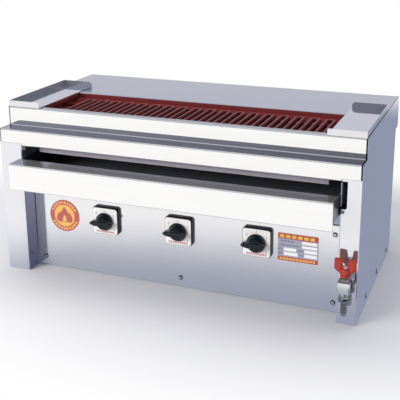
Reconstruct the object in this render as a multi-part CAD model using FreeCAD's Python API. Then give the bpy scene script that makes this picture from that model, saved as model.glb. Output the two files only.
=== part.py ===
"""Counter-top electric skewer grill: bent stainless casing, sheathed heaters, drawer, drain valve.

Millimetres, +Z up.  The front faces -Y and the grill stands on Z = 0.  The origin is under the
middle of the whole grill, from the drawer front to the rear edge of the deck.
"""
import FreeCAD, Part
import os
from math import cos, pi, sin, tan

from FreeCAD import Vector

# Whole grill
width = 647.0  # over the side panels
height = 300.0  # floor to the top of the deck
depth = 392.0  # drawer front to the rear edge of the deck
sheet = 1.2  # casing sheet
thin_sheet = 1.0  # trays, fire box and drawer
bend = 1.0  # inside radius of a bend
lap_gap = 0.3  # between pieces that lie together
turning_fit = 0.05  # round a shaft

# Front of the casing
drawer_reach = 44.4  # drawer front before the legs
shelf_depth = 32.6  # legs and shelf before the fascia
fascia_height = 33.3
lip_height = 24.0
fascia_side_gap = 1.6  # fascia end to side panel
ledge_width = 16.0  # top of the fascia, before the fire bed
ledge_drop = 3.0
right_leg_width = 32.4
left_leg_width = 44.0
leg_panel_gap = 1.6  # leg return to the control panel
notch_width = 10.3
notch_height = 45.0
notch_below_leg_top = 3.4
notch_radius = 3.5
foot_flange = 12.0
rail_strip = 5.0  # part of the cross rail that shows under the lip
rail_web = 24.0

# Top and rear of the casing
bed_depth = 128.0  # opening over the heaters
bed_side_margin = 61.5  # deck beside the fire bed
deck_drop = 8.0
overhang = 22.6
overhang_height = 57.5
overhang_return = 10.0
vent_slots = 9
vent_pitch = 14.0
vent_slot_width = 5.0
vent_slot_height = 46.0
vent_below_panel_top = 40.0
vent_group_x = 150.0

# Control compartment
panel_below_drawer = 17.5  # top of the panel below the drawer front
panel_foot_gap = 2.5
panel_flange = 30.0
base_lift = 3.0
base_flange = 25.0
partition_flange = 20.0

# Fire box and heaters
firebox_wall = 79.0
firebox_flange = 10.0
element_radius = 3.8
element_sink = 8.0  # axis of the legs below the deck
heater_count = 3
heater_legs = 12  # legs of one heater
legs_left_margin = 39.7  # first leg to the left edge of the fire bed
legs_right_margin = 15.3
front_bend_clearance = 3.4
rear_bend_gap = 22.0  # rear bends to the rear edge of the fire bed
tail_bend = 8.0  # where a heater end turns down and out
tail_straight = 2.0  # behind the fire box wall
tail_drop = 38.0
tail_reach = 22.0  # heater end before the fire box wall
element_fit = 0.15
bushing_radius = 6.5
bushing_reach = 10.0
collar_extra = 1.5  # bushing collar over its body
collar_length = 4.0
stud_radius = 2.0
stud_length = 7.0
stud_nut_flat = 7.0
stud_nut_height = 3.4
stud_nut_start = 1.8
reflector_sink = 16.0  # below the deck
reflector_front_gap = 1.7  # behind the heater ends
reflector_lip = 8.0
reflector_rise_run = 18.0
support_count = 2
support_thickness = 2.0
support_below_axis = 1.6
support_first = 31.0  # behind the fire box front
support_spacing = 60.0

# End trays
tray_over_bed = 2.5  # tray edge past the edge of the fire bed
tray_length = 193.6
tray_rim = 10.5
tray_side_gap = 0.4
tray_front_gap = 0.4
tray_tongue = 7.0
tray_tongue_end_gap = 4.0
tray_lip_radius = 2.0
tray_back_radius = 6.0

# Drawer
drawer_left_gap = 1.3
drawer_right_gap = 1.7
drawer_below_firebox = 1.8
drawer_face_height = 46.2
drawer_wall = 33.0
drawer_length = 256.0
drawer_flange = 34.0
drawer_foot_return = 8.0
rail_ledge = 18.0
rail_below_notch_top = 3.0
rail_above_notch_foot = 3.5

# Drain
drain_tray_wall = 22.0
drain_tray_side_gap = 2.3
drain_tray_rear_gap = 24.0
pipe_radius = 6.9
pipe_wall = 1.2
pipe_side_inset = 17.0  # pipe axis from the outside of the casing
pipe_behind_panel = 19.0
pipe_hole_gap = 1.0
spout_length = 14.0
pipe_bend = 14.0
pipe_entry = 5.0  # pipe end in the valve
lock_nut_flat = 22.0
lock_nut_height = 5.0
valve_level = 74.4
valve_reach = 18.4  # valve axis before the leg
valve_body_width = 19.8
valve_body_height = 19.6
valve_chamfer = 1.2
union_flat = 19.0
union_gap = 2.0  # union nut to the valve body
neck_radius = 8.0
bonnet_radius = 8.6
bonnet_height = 6.4
bonnet_chamfer = 1.0
outlet_flat = 17.0
outlet_height = 14.6
barb_length = 24.0
barb_radius = 5.6
barb_root_radius = 4.6
barb_bore_radius = 3.2
barb_count = 6
stem_radius = 3.0
stem_entry = 6.0  # stem end in the valve body
stem_in_handle = 12.0
handle_gap = 0.4  # hub to bonnet
handle_hub_radius = 7.6
handle_hub_draft = 0.6
handle_hub_height = 14.0
handle_span = 34.4
handle_rise = 30.0
handle_wing_edge = 15.0
handle_wing_root = 4.0
handle_wing_thickness = 3.6
handle_valley = 10.4  # between the tops of the wings
handle_valley_foot = 6.8

# Switches
switch_below_panel_top = 46.5
switch_badge_gap = 32.0  # badge to the first switch
switch_label_gap = 9.5  # last switch to the rating plate
switch_plate = 50.0
switch_plate_radius = 5.0
switch_frame_depth = 7.6
card_thickness = 1.2
card_margin = 0.6
card_hole_gap = 1.0
switch_body = 44.0
switch_body_depth = 52.0
switch_body_chamfer = 3.0
switch_back_wall = 4.0
switch_collar_radius = 10.8
switch_collar_fit = 0.2
shaft_radius = 3.0
shaft_in_knob = 12.0
knob_card_gap = 0.5
skirt_radius = 15.0
skirt_height = 4.5
skirt_chamfer = 1.0
knob_height = 19.0
crown_radius = 12.6
crown_draft = 2.4
crown_height = 9.0
grip_long = 22.0
grip_short = 17.0
grip_thickness = 8.0
grip_foot = 2.0  # pointed grip above the back of the skirt

# Plates and fasteners
badge_inset = 61.0  # middle of the badge to the left leg
badge_below_panel_top = 50.4
badge_radius = 30.0
badge_thickness = 0.8
label_inset = 73.1  # middle of the plate to the right leg
label_below_panel_top = 49.7
label_width = 68.0
label_height = 48.0
label_radius = 2.0
label_thickness = 0.5
screw_head_radius = 4.2
screw_head_height = 2.6
screw_shank_radius = 2.0
screw_shank = 7.0
screw_fit = 0.25
side_screw_level = 14.0
side_screw_shares = (0.18, 0.53, 0.88)  # along the side panel, front to rear
panel_screw_level = 18.2
panel_screw_inset = 12.6
panel_left_screw_inset = 16.8
panel_high_screw_drop = 17.0
rear_screw_inset = 24.0
rear_high_screw_drop = 14.0

# Wiring and inlet
terminal_ways = 4
terminal_pitch = 18.5
terminal_width = 24.0
terminal_height = 20.0
terminal_well_depth = 7.0
terminal_well_wall = 2.5
terminal_well_end = 4.0
terminal_screw_radius = 3.6
terminal_screw_height = 3.0
terminal_inset = 133.5  # from the right side
terminal_to_rear = 36.0
gland_inset = 93.5  # from the right side
gland_level = 60.0
gland_radius = 9.0
gland_bore_radius = 5.0
gland_inside = 14.0
gland_dome = 14.0
gland_dome_foot = 11.4
gland_dome_tip = 7.0
gland_hex_flat = 27.0
gland_hex_height = 6.0
loom_radius = 3.2
loom_bend = 14.0
loom_hole_gap = 1.0
loom_behind_panel = 38.0
loom_above_switch = 10.0
loom_in_duct = 7.4  # trunk axis over the cross rail
lead_radius = 1.5
lead_bend = 2.5
supply_behind_switch = 24.0
supply_above_base = 5.0

half_width = width / 2
inner_half = half_width - sheet
deck_half = inner_half - lap_gap
drawer_y = -depth / 2
leg_y = drawer_y + drawer_reach
fascia_y = leg_y + shelf_depth
leg_middle_y = (leg_y + fascia_y) / 2
ledge_y = fascia_y + ledge_width
bed_rear_y = ledge_y + bed_depth
bed_width = width - 2 * bed_side_margin
bed_half = bed_width / 2
deck_rear_y = depth / 2
rear_y = deck_rear_y - overhang
shelf_z = height - fascia_height
lip_z = shelf_z - lip_height
leg_top = lip_z - lap_gap
overhang_z = height - overhang_height
left_return_x = left_leg_width - half_width
right_return_x = half_width - right_leg_width
notch_top = leg_top - notch_below_leg_top
notch_foot = notch_top - notch_height
rail_foot_z = lip_z - rail_strip

panel_back_y = fascia_y + sheet
panel_inner_y = panel_back_y + lap_gap
rear_inner_y = rear_y - sheet - lap_gap
base_z = base_lift + sheet

firebox_front = panel_inner_y
firebox_inside_y = firebox_front + thin_sheet
firebox_wall_y = bed_rear_y + sheet + lap_gap
firebox_rear = firebox_wall_y + thin_sheet
firebox_inside_half = bed_half + sheet + lap_gap
firebox_half = firebox_inside_half + thin_sheet
firebox_top = height - sheet - lap_gap
firebox_low = firebox_top - firebox_wall
element_z = height - element_sink
reflector_z = height - reflector_sink
tail_z = element_z - tail_drop
tail_y = firebox_inside_y + tail_straight + tail_bend
leg_pitch = (bed_width - legs_left_margin - legs_right_margin) / (heater_count * heater_legs - 1)

drawer_top = firebox_low - drawer_below_firebox
drawer_low = drawer_top - drawer_face_height
drawer_left = left_return_x + drawer_left_gap
drawer_right = right_return_x - drawer_right_gap
pan_top = drawer_top - thin_sheet
pan_low = pan_top - drawer_wall
rail_ledge_z = pan_low - lap_gap
rail_top = notch_top - rail_below_notch_top

panel_top = drawer_low - panel_below_drawer
partition_top = panel_top - sheet - lap_gap
drain_tray_z = panel_top + lap_gap
valve_x = half_width - pipe_side_inset
valve_y = leg_y - valve_reach
valve_low = valve_level - valve_body_height / 2
valve_high = valve_level + valve_body_height / 2
valve_back = valve_y + valve_body_width / 2
barb_top = valve_low - outlet_height
handle_z = valve_high + bonnet_height + handle_gap
pipe_y = panel_back_y + pipe_behind_panel
spout_bore = pipe_radius + lap_gap
spout_radius = spout_bore + thin_sheet

switch_level = panel_top - switch_below_panel_top
frame_y = fascia_y - switch_frame_depth
card_y = frame_y - card_thickness
knob_y = card_y - knob_card_gap
switch_front_y = panel_back_y + lap_gap
switch_rear_y = switch_front_y + switch_body_depth
shaft_end_y = switch_rear_y - switch_back_wall - lap_gap

badge_x = left_return_x + badge_inset
badge_level = panel_top - badge_below_panel_top
label_x = right_return_x - label_inset
label_level = panel_top - label_below_panel_top
switch_first_x = badge_x + badge_radius + switch_badge_gap + switch_plate / 2
switch_last_x = label_x - label_width / 2 - switch_label_gap - switch_plate / 2
switch_middle_x = (switch_first_x + switch_last_x) / 2
switch_places = [switch_first_x, switch_middle_x, switch_last_x]

gland_x = half_width - gland_inset
terminal_x = half_width - terminal_inset
terminal_length = terminal_ways * terminal_pitch
terminal_y = rear_inner_y - terminal_to_rear - terminal_width
terminal_floor_z = base_z + terminal_height - terminal_well_depth
nut_middle_y = firebox_front - tail_reach - stud_nut_start - stud_nut_height / 2
loom_x = (left_return_x - half_width) / 2
loom_y = panel_back_y + loom_behind_panel
loom_z = switch_level + switch_body / 2 + loom_above_switch
duct_z = rail_foot_z + sheet + loom_in_duct


def block(x0, y0, z0, x1, y1, z1):
    """Box between two corners, given in either order."""
    low = Vector(min(x0, x1), min(y0, y1), min(z0, z1))
    return Part.makeBox(abs(x1 - x0), abs(y1 - y0), abs(z1 - z0), low)


def rod(x, y, z, axis, radius, length):
    return Part.makeCylinder(radius, length, Vector(x, y, z), Vector(*axis))


def hole(x, y, z, axis, radius, length):
    """Cutter centred on a point, so that it passes both faces of a wall."""
    along = Vector(*axis)
    start = Vector(x, y, z) - along * (length / 2)
    return Part.makeCylinder(radius, length, start, along)


def tube(x, y, z, axis, radius, bore, length):
    return rod(x, y, z, axis, radius, length).cut(rod(x, y, z, axis, bore, length))


def hexagon(x, y, z, axis, across, length):
    """Hexagonal bar, given by its width across flats, with two corners along X."""
    along = Vector(*axis)
    side = Vector(1, 0, 0)
    other = along.cross(side)
    corner = across / 2 / cos(pi / 6)
    turns = [i * pi / 3 for i in range(6)]
    ring = [Vector(x, y, z) + side * (corner * cos(a)) + other * (corner * sin(a)) for a in turns]
    return Part.Face(Part.makePolygon(ring + ring[:1])).extrude(along * length)


def place(plane, u, v, w):
    """Point from flat coordinates u, v and the coordinate w across them."""
    return {"yz": Vector(w, u, v), "xy": Vector(u, v, w), "xz": Vector(u, w, v)}[plane]


def plate(plane, outline, near, far):
    """Flat plate with straight edges, thick from near to far in either order."""
    near, far = sorted((near, far))
    ring = [place(plane, u, v, near) for u, v in outline]
    return Part.Face(Part.makePolygon(ring + ring[:1])).extrude(place(plane, 0, 0, far - near))


def rounded_edges(points, radii):
    """Straight runs through points, joined by tangent arcs."""
    edges = []
    last = points[0]
    for before, corner, after, radius in zip(points, points[1:], points[2:], radii):
        into = (corner - before).normalize()
        out = (after - corner).normalize()
        turn = into.getAngle(out)
        reach = radius * tan(turn / 2)
        middle = corner + (out - into).normalize() * (radius / cos(turn / 2) - radius)
        start = corner - into * reach
        edges.append(Part.LineSegment(last, start).toShape())
        last = corner + out * reach
        edges.append(Part.Arc(start, middle, last).toShape())
    edges.append(Part.LineSegment(last, points[-1]).toShape())
    return edges


def folded(plane, face, side, thickness, near, far):
    """Sheet folded along a path; face is its outside, and side is 1 for metal on the left."""
    near, far = sorted((near, far))
    flat = [Vector(u, v, 0) for u, v in face]
    runs = [(b - a).normalize() for a, b in zip(flat, flat[1:])]
    across = [Vector(-run.y, run.x, 0) * (side * thickness) for run in runs]
    inside = [flat[0] + across[0]]
    face_radii = []
    inside_radii = []
    for i in range(1, len(runs)):
        opening = 1 + runs[i - 1].dot(runs[i])
        inside.append(flat[i] + (across[i - 1] + across[i]) * (1 / opening))
        towards_metal = (runs[i] - runs[i - 1]).dot(across[i - 1]) > 0
        face_radii.append(bend + thickness if towards_metal else bend)
        inside_radii.append(bend if towards_metal else bend + thickness)
    inside.append(flat[-1] + across[-1])
    outer = [place(plane, p.x, p.y, near) for p in flat]
    inner = [place(plane, p.x, p.y, near) for p in inside]
    edges = rounded_edges(outer, face_radii)
    edges.append(Part.LineSegment(outer[-1], inner[-1]).toShape())
    edges += rounded_edges(inner[::-1], inside_radii[::-1])
    edges.append(Part.LineSegment(inner[0], outer[0]).toShape())
    outline = Part.Wire(Part.__sortEdges__(edges))
    return Part.Face(outline).extrude(place(plane, 0, 0, far - near))


def edges_along(shape, axis):
    """Straight edges that run along an axis."""
    along = Vector(*axis)
    return [e for e in shape.Edges if abs(e.tangentAt(e.FirstParameter).dot(along)) > 1 - 1e-6]


def edges_at(shape, axis, level):
    """Edges whose middle lies at a level along an axis."""
    along = Vector(*axis)
    return [e for e in shape.Edges if abs(e.CenterOfMass.dot(along) - level) < 1e-6]


def shared_edges(first, second):
    return [e for e in first if any(e.isSame(other) for other in second)]


def rounded_card(x, z, wide, high, radius, near, far):
    """Upright plate with four rounded corners, centred on x and z."""
    card = block(x - wide / 2, near, z - high / 2, x + wide / 2, far, z + high / 2)
    return card.makeFillet(radius, edges_along(card, (0, 1, 0)))


def wire_tube(points, radius_of_bends, radius):
    """Round bar along a path with tangent arcs."""
    corners = [Vector(*p) for p in points]
    path = Part.Wire(rounded_edges(corners, [radius_of_bends] * (len(corners) - 2)))
    ring = Part.Wire(Part.Circle(corners[0], corners[1] - corners[0], radius).toShape())
    return path.makePipeShell([ring], True, False)


def fuse(shapes):
    return shapes[0].multiFuse(shapes[1:]).removeSplitter()


def leg_inner(side):
    return right_return_x if side > 0 else left_return_x


def side_panel(side):
    """Side of the casing with its front leg and foot turned in; side is -1 left, 1 right."""
    out = side * half_width
    corner = leg_y + bend + sheet
    outline = [
        (corner, 0),
        (rear_y, 0),
        (rear_y, overhang_z),
        (deck_rear_y, overhang_z),
        (deck_rear_y, height),
        (fascia_y, height),
        (fascia_y, shelf_z),
        (leg_y, shelf_z),
        (leg_y, leg_top),
        (corner, leg_top),
    ]
    turns = [
        (out, leg_middle_y),
        (out, leg_y),
        (leg_inner(side), leg_y),
        (leg_inner(side), fascia_y - leg_panel_gap),
    ]
    leg = folded("xy", turns, -side, sheet, 0, leg_top)
    foot = block(out, panel_back_y, 0, out - side * foot_flange, rear_inner_y, sheet)
    panel = fuse([plate("yz", outline, side * inner_half, out), leg, foot])
    cutters = side_screw_holes(side)
    if side > 0:
        cutters += [leg_notch(), valve_hole(leg_y)]
    return panel.cut(fuse(cutters))


def leg_notch():
    """Notch in the right leg beside the drawer, with a rounded lower corner."""
    far_x = right_return_x + notch_width
    cutter = block(right_return_x - sheet, leg_y - sheet, notch_foot, far_x, fascia_y, notch_top)
    corner = shared_edges(edges_at(cutter, (1, 0, 0), far_x), edges_at(cutter, (0, 0, 1), notch_foot))
    return cutter.makeFillet(notch_radius, corner)


def valve_hole(y):
    """Hole for the drain pipe through an upright wall."""
    return hole(valve_x, y, valve_level, (0, 1, 0), pipe_radius + lap_gap, 4 * sheet)


def side_screw_places():
    return [fascia_y + (rear_y - fascia_y) * share for share in side_screw_shares]


def screw_hole(x, y, z, axis):
    """Hole for a screw shank, through every sheet that it passes."""
    return hole(x, y, z, axis, screw_shank_radius + screw_fit, 2 * screw_shank + 2 * sheet)


def side_screw_holes(side):
    return [screw_hole(side * half_width, y, side_screw_level, (1, 0, 0)) for y in side_screw_places()]


def front_fascia():
    """Ledge, fascia, shelf and lip folded from one sheet, turned down along the fire bed."""
    face = [(ledge_y, height), (fascia_y, height), (fascia_y, shelf_z), (leg_y, shelf_z), (leg_y, lip_z)]
    end = inner_half - fascia_side_gap
    turned = [(ledge_y, height - ledge_drop)] + face
    return fuse(
        [
            folded("yz", turned, 1, sheet, -bed_half, bed_half),
            folded("yz", face, 1, sheet, -end, -bed_half),
            folded("yz", face, 1, sheet, bed_half, end),
        ]
    )


def top_deck():
    """Deck round three sides of the fire bed, with its rear edge folded down and in."""
    back = [
        (bed_rear_y, height),
        (deck_rear_y, height),
        (deck_rear_y, overhang_z),
        (deck_rear_y - overhang_return, overhang_z),
    ]
    turned = [(bed_rear_y, height - deck_drop)] + back
    pieces = [folded("yz", turned, -1, sheet, -bed_half, bed_half)]
    for side in (-1, 1):
        edge = side * bed_half
        out = side * deck_half
        pieces.append(folded("yz", back, -1, sheet, edge, out))
        arm = [(edge, height - deck_drop), (edge, height), (out, height)]
        pieces.append(folded("xz", arm, -side, sheet, ledge_y + lap_gap, bed_rear_y + sheet))
    return fuse(pieces)


def rear_panel():
    """Lower rear wall, folded out under the overhang, with vent slots and the inlet hole."""
    flange_z = overhang_z + sheet + lap_gap
    face = [
        (rear_y, sheet + lap_gap),
        (rear_y, flange_z),
        (deck_rear_y - sheet - bend - lap_gap, flange_z),
    ]
    panel = folded("yz", face, 1, sheet, -deck_half, deck_half)
    inlet = hole(gland_x, rear_y, gland_level, (0, 1, 0), gland_radius + screw_fit, 4 * sheet)
    return panel.cut(fuse([inlet] + vent_holes() + rear_screw_holes()))


def vent_holes():
    """Two groups of upright slots."""
    top = panel_top - vent_below_panel_top
    slots = []
    for group in (-vent_group_x, vent_group_x):
        for i in range(vent_slots):
            x = group + (i - (vent_slots - 1) / 2) * vent_pitch - vent_slot_width / 2
            near = rear_y - 2 * sheet
            slots.append(block(x, near, top - vent_slot_height, x + vent_slot_width, rear_y + sheet, top))
    return slots


def rear_screw_places():
    spread = deck_half - rear_screw_inset
    levels = (side_screw_level, panel_top - rear_high_screw_drop)
    return [(x, z) for z in levels for x in (-spread, 0, spread)]


def rear_screw_holes():
    return [screw_hole(x, rear_y, z, (0, 1, 0)) for x, z in rear_screw_places()]


def base_pan():
    """Floor of the compartment with its edges turned up inside the casing."""
    top = base_lift + base_flange
    outer = block(-deck_half, panel_inner_y, base_lift, deck_half, rear_inner_y, top)
    inner_x = deck_half - sheet
    hollow = block(-inner_x, panel_inner_y + sheet, base_z, inner_x, rear_inner_y - sheet, top + sheet)
    holes = side_screw_holes(1) + side_screw_holes(-1) + rear_screw_holes() + panel_screw_holes()
    return outer.cut(hollow).cut(fuse(holes))


def cross_rail():
    """Angle under the shelf: its edge shows below the lip and its web closes the wire duct."""
    front = leg_y + sheet + lap_gap
    face = [
        (front, rail_foot_z + rail_web),
        (front, rail_foot_z),
        (firebox_front - lap_gap, rail_foot_z),
    ]
    return folded("yz", face, 1, sheet, left_return_x + lap_gap, right_return_x - lap_gap)


def panel_screw_places():
    """Three screws along the foot of the control panel and one at its upper right."""
    right = right_return_x - panel_screw_inset
    left = left_return_x + panel_left_screw_inset
    high = panel_top - panel_high_screw_drop
    low = panel_screw_level
    return [(left, low), (switch_middle_x, low), (right, low), (right, high)]


def panel_screw_holes():
    return [screw_hole(x, fascia_y, z, (0, 1, 0)) for x, z in panel_screw_places()]


def control_panel():
    """Front of the compartment, with holes for the switches, the drain pipe and the heater wires."""
    face = [(fascia_y, panel_foot_gap), (fascia_y, panel_top), (fascia_y + panel_flange, panel_top)]
    panel = folded("yz", face, -1, sheet, -deck_half, deck_half)
    collar_hole = switch_collar_radius + switch_collar_fit
    cutters = [hole(x, fascia_y, switch_level, (0, 1, 0), collar_hole, 4 * sheet) for x in switch_places]
    cutters += [loom_hole(), spout_hole(), valve_hole(fascia_y)]
    return panel.cut(fuse(cutters + panel_screw_holes()))


def loom_hole():
    return hole(loom_x, panel_back_y, loom_z, (0, 1, 0), loom_radius + loom_hole_gap, 4 * sheet)


def spout_hole():
    return hole(valve_x, pipe_y, partition_top, (0, 0, 1), spout_radius + pipe_hole_gap, 6 * sheet)


def partition_plate():
    """Shelf between the wet upper part and the electrical compartment."""
    low = partition_top - partition_flange
    top = block(-deck_half, panel_inner_y, partition_top - sheet, deck_half, rear_inner_y, partition_top)
    rear = block(-deck_half, rear_inner_y - sheet, low, deck_half, rear_inner_y, partition_top)
    front = block(-deck_half, panel_inner_y, low, deck_half, panel_inner_y + sheet, partition_top)
    holes = [spout_hole(), loom_hole()] + rear_screw_holes() + panel_screw_holes()
    return fuse([top, rear, front]).cut(fuse(holes))


def fire_box():
    """Four walls round the heaters, open above and below, hung under the deck by a flange."""
    over = firebox_half + firebox_flange
    back = firebox_rear + firebox_flange
    walls = block(-firebox_half, firebox_front, firebox_low, firebox_half, firebox_rear, firebox_top)
    flange = block(-over, firebox_front, firebox_top - thin_sheet, over, back, firebox_top)
    inside = block(
        -firebox_inside_half,
        firebox_inside_y,
        firebox_low - sheet,
        firebox_inside_half,
        firebox_wall_y,
        firebox_top + sheet,
    )
    cutters = [inside]
    for x in tail_places():
        cutters.append(hole(x, firebox_front, tail_z, (0, 1, 0), bushing_radius + element_fit, 4 * sheet))
    return fuse([walls, flange]).cut(fuse(cutters))


def heater_leg_places(unit):
    first = legs_left_margin - bed_half + unit * heater_legs * leg_pitch
    return [first + i * leg_pitch for i in range(heater_legs)]


def tail_places():
    """X of each heater end."""
    places = []
    for unit in range(heater_count):
        legs = heater_leg_places(unit)
        places += [legs[0], legs[-1]]
    return places


def heater(unit):
    """Sheathed element: legs front to back, both ends turned down and out through the front."""
    front = firebox_inside_y + front_bend_clearance + element_radius
    rear = bed_rear_y - rear_bend_gap - element_radius
    legs = heater_leg_places(unit)
    turns = []
    for i, x in enumerate(legs):
        ends = [(x, front, element_z), (x, rear, element_z)]
        turns += ends if i % 2 == 0 else ends[::-1]
    first = legs[0]
    last = legs[-1]
    end_y = firebox_front - tail_reach
    tail = [(first, end_y, tail_z), (first, tail_y, tail_z), (first, tail_y, element_z)]
    head = [(last, tail_y, element_z), (last, tail_y, tail_z), (last, end_y, tail_z)]
    points = [Vector(*p) for p in tail + turns[1:-1] + head]
    radii = [tail_bend] * 2 + [leg_pitch * 0.4995] * len(turns[1:-1]) + [tail_bend] * 2
    path = Part.Wire(rounded_edges(points, radii))
    ring = Part.Wire(Part.Circle(points[0], Vector(0, 1, 0), element_radius).toShape())
    return path.makePipeShell([ring], True, False)


def heater_supports():
    """Notched bars that stand on the reflector and carry the legs."""
    notch = element_radius + element_fit
    end = firebox_inside_half - lap_gap
    legs = [x for unit in range(heater_count) for x in heater_leg_places(unit)]
    bars = []
    for i in range(support_count):
        y = firebox_front + support_first + i * support_spacing
        bar = block(-end, y, reflector_z, end, y + support_thickness, element_z - support_below_axis)
        cutters = [hole(x, y, element_z, (0, 1, 0), notch, 4 * support_thickness) for x in legs]
        bars.append(bar.cut(Part.makeCompound(cutters)))
    return Part.makeCompound(bars)


def reflector_plate():
    """Sheet under the heaters, open along the front for drips and raised at the rear."""
    front = tail_y + element_radius + reflector_front_gap
    rear = firebox_wall_y - 2 * lap_gap
    face = [
        (front, reflector_z - reflector_lip),
        (front, reflector_z),
        (rear - reflector_rise_run, reflector_z),
        (rear, height - deck_drop - lap_gap),
    ]
    end = firebox_inside_half - lap_gap
    return folded("yz", face, -1, thin_sheet, -end, end)


def heater_bushings():
    """Ceramic bushing round each heater end where it leaves the fire box."""
    bore = element_radius + element_fit
    rings = []
    for x in tail_places():
        collar_y = firebox_front - lap_gap
        body = tube(x, firebox_inside_y, tail_z, (0, -1, 0), bushing_radius, bore, bushing_reach)
        collar = tube(x, collar_y, tail_z, (0, -1, 0), bushing_radius + collar_extra, bore, collar_length)
        rings.append(fuse([body, collar]))
    return Part.makeCompound(rings)


def heater_terminals():
    """Threaded end and nut on each heater end."""
    studs = []
    for x in tail_places():
        y = firebox_front - tail_reach
        stud = rod(x, y, tail_z, (0, -1, 0), stud_radius, stud_length)
        nut = hexagon(x, y - stud_nut_start, tail_z, (0, -1, 0), stud_nut_flat, stud_nut_height)
        studs.append(fuse([stud, nut]))
    return Part.makeCompound(studs)


def end_tray(side):
    """Loose plate beside the fire bed: rim on three sides, tongue into the bed on the fourth."""
    outer = side * (inner_half - tray_side_gap)
    inner = side * (bed_half - tray_over_bed)
    front = fascia_y + tray_front_gap
    back = front + tray_length
    low = height + lap_gap
    floor = block(inner, front, low, outer, back, low + thin_sheet)
    rim = block(outer, front, low, outer - side * thin_sheet, back, low + tray_rim)
    lip = tray_end(inner, outer, front, front + thin_sheet, tray_lip_radius)
    rear = tray_end(inner, outer, back - thin_sheet, back, tray_back_radius)
    tongue_front = ledge_y + tray_tongue_end_gap
    tongue_back = min(bed_rear_y - tray_tongue_end_gap, back)
    tongue_x = inner + side * thin_sheet
    tongue = block(inner, tongue_front, height - tray_tongue, tongue_x, tongue_back, low + thin_sheet)
    return fuse([floor, rim, lip, rear, tongue])


def tray_end(inner, outer, near, far, radius):
    """Rim across one end of a tray, rounded at its inner top corner."""
    low = height + lap_gap
    end = block(inner, near, low, outer, far, low + tray_rim)
    corner = shared_edges(edges_at(end, (1, 0, 0), inner), edges_at(end, (0, 0, 1), low + tray_rim))
    return end.makeFillet(radius, corner)


def welded_tray(x0, y0, z0, x1, y1, z1):
    """Floor plate with four upright plates welded round its edge, open above."""
    wall = thin_sheet
    floor_z = z0 + wall
    return [
        block(x0, y0, z0, x1, y1, floor_z),
        block(x0, y0, floor_z, x0 + wall, y1, z1),
        block(x1 - wall, y0, floor_z, x1, y1, z1),
        block(x0 + wall, y0, floor_z, x1 - wall, y0 + wall, z1),
        block(x0 + wall, y1 - wall, floor_z, x1 - wall, y1, z1),
    ]


def drawer_pan():
    """Drip and water pan that slides under the fire box."""
    front = drawer_y + thin_sheet + bend + lap_gap
    back = drawer_y + drawer_length
    return Part.makeCompound(welded_tray(drawer_left, front, pan_low, drawer_right, back, pan_top))


def drawer_front():
    """Face of the drawer, folded back over the pan at the top and under at the foot."""
    face = [
        (drawer_y + drawer_flange, drawer_top),
        (drawer_y, drawer_top),
        (drawer_y, drawer_low),
        (drawer_y + drawer_foot_return, drawer_low),
    ]
    return folded("yz", face, 1, thin_sheet, drawer_left, drawer_right)


def drawer_rail(side):
    """Angle that carries one side of the drawer, from the leg to the rear panel."""
    inner = leg_inner(side)
    out = inner + side * sheet
    ledge_side = inner - side * lap_gap
    low = rail_ledge_z - sheet
    back = rear_inner_y
    pieces = [
        block(inner, fascia_y, low, out, back, rail_top),
        block(ledge_side, leg_y + sheet, low, inner - side * rail_ledge, back, rail_ledge_z),
        block(ledge_side, fascia_y, low, out, back, rail_ledge_z),
        block(inner, back - sheet, low, side * deck_half, back, rail_top),
    ]
    if side > 0:
        foot = notch_foot + rail_above_notch_foot
        pieces.append(block(inner, leg_y + sheet + lap_gap, foot, out, fascia_y, rail_top))
    return fuse(pieces)


def drain_tray():
    """Fixed tray under the drawer, with a spout over the drain pipe."""
    low = drain_tray_z
    half = deck_half - drain_tray_side_gap
    back = rear_inner_y - drain_tray_rear_gap
    floor, *walls = welded_tray(-half, panel_inner_y, low, half, back, low + drain_tray_wall)
    spout = tube(valve_x, pipe_y, low, (0, 0, -1), spout_radius, spout_bore, spout_length)
    drain_hole = hole(valve_x, pipe_y, low, (0, 0, 1), spout_bore, 4 * thin_sheet)
    return Part.makeCompound([floor.cut(drain_hole), spout] + walls)


def drain_pipe():
    """Pipe from the spout down and forward into the valve, with one bend."""
    points = [
        (valve_x, pipe_y, drain_tray_z + thin_sheet / 2),
        (valve_x, pipe_y, valve_level),
        (valve_x, leg_y - pipe_entry, valve_level),
    ]
    outside = wire_tube(points, pipe_bend, pipe_radius)
    return outside.cut(wire_tube(points, pipe_bend, pipe_radius - pipe_wall))


def drain_lock_nut():
    """Nut behind the leg that clamps the drain pipe."""
    start = leg_y + sheet
    nut = hexagon(valve_x, start, valve_level, (0, 1, 0), lock_nut_flat, lock_nut_height)
    middle = start + lock_nut_height / 2
    bore = hole(valve_x, middle, valve_level, (0, 1, 0), pipe_radius + turning_fit, 2 * lock_nut_height)
    return nut.cut(bore)


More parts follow.
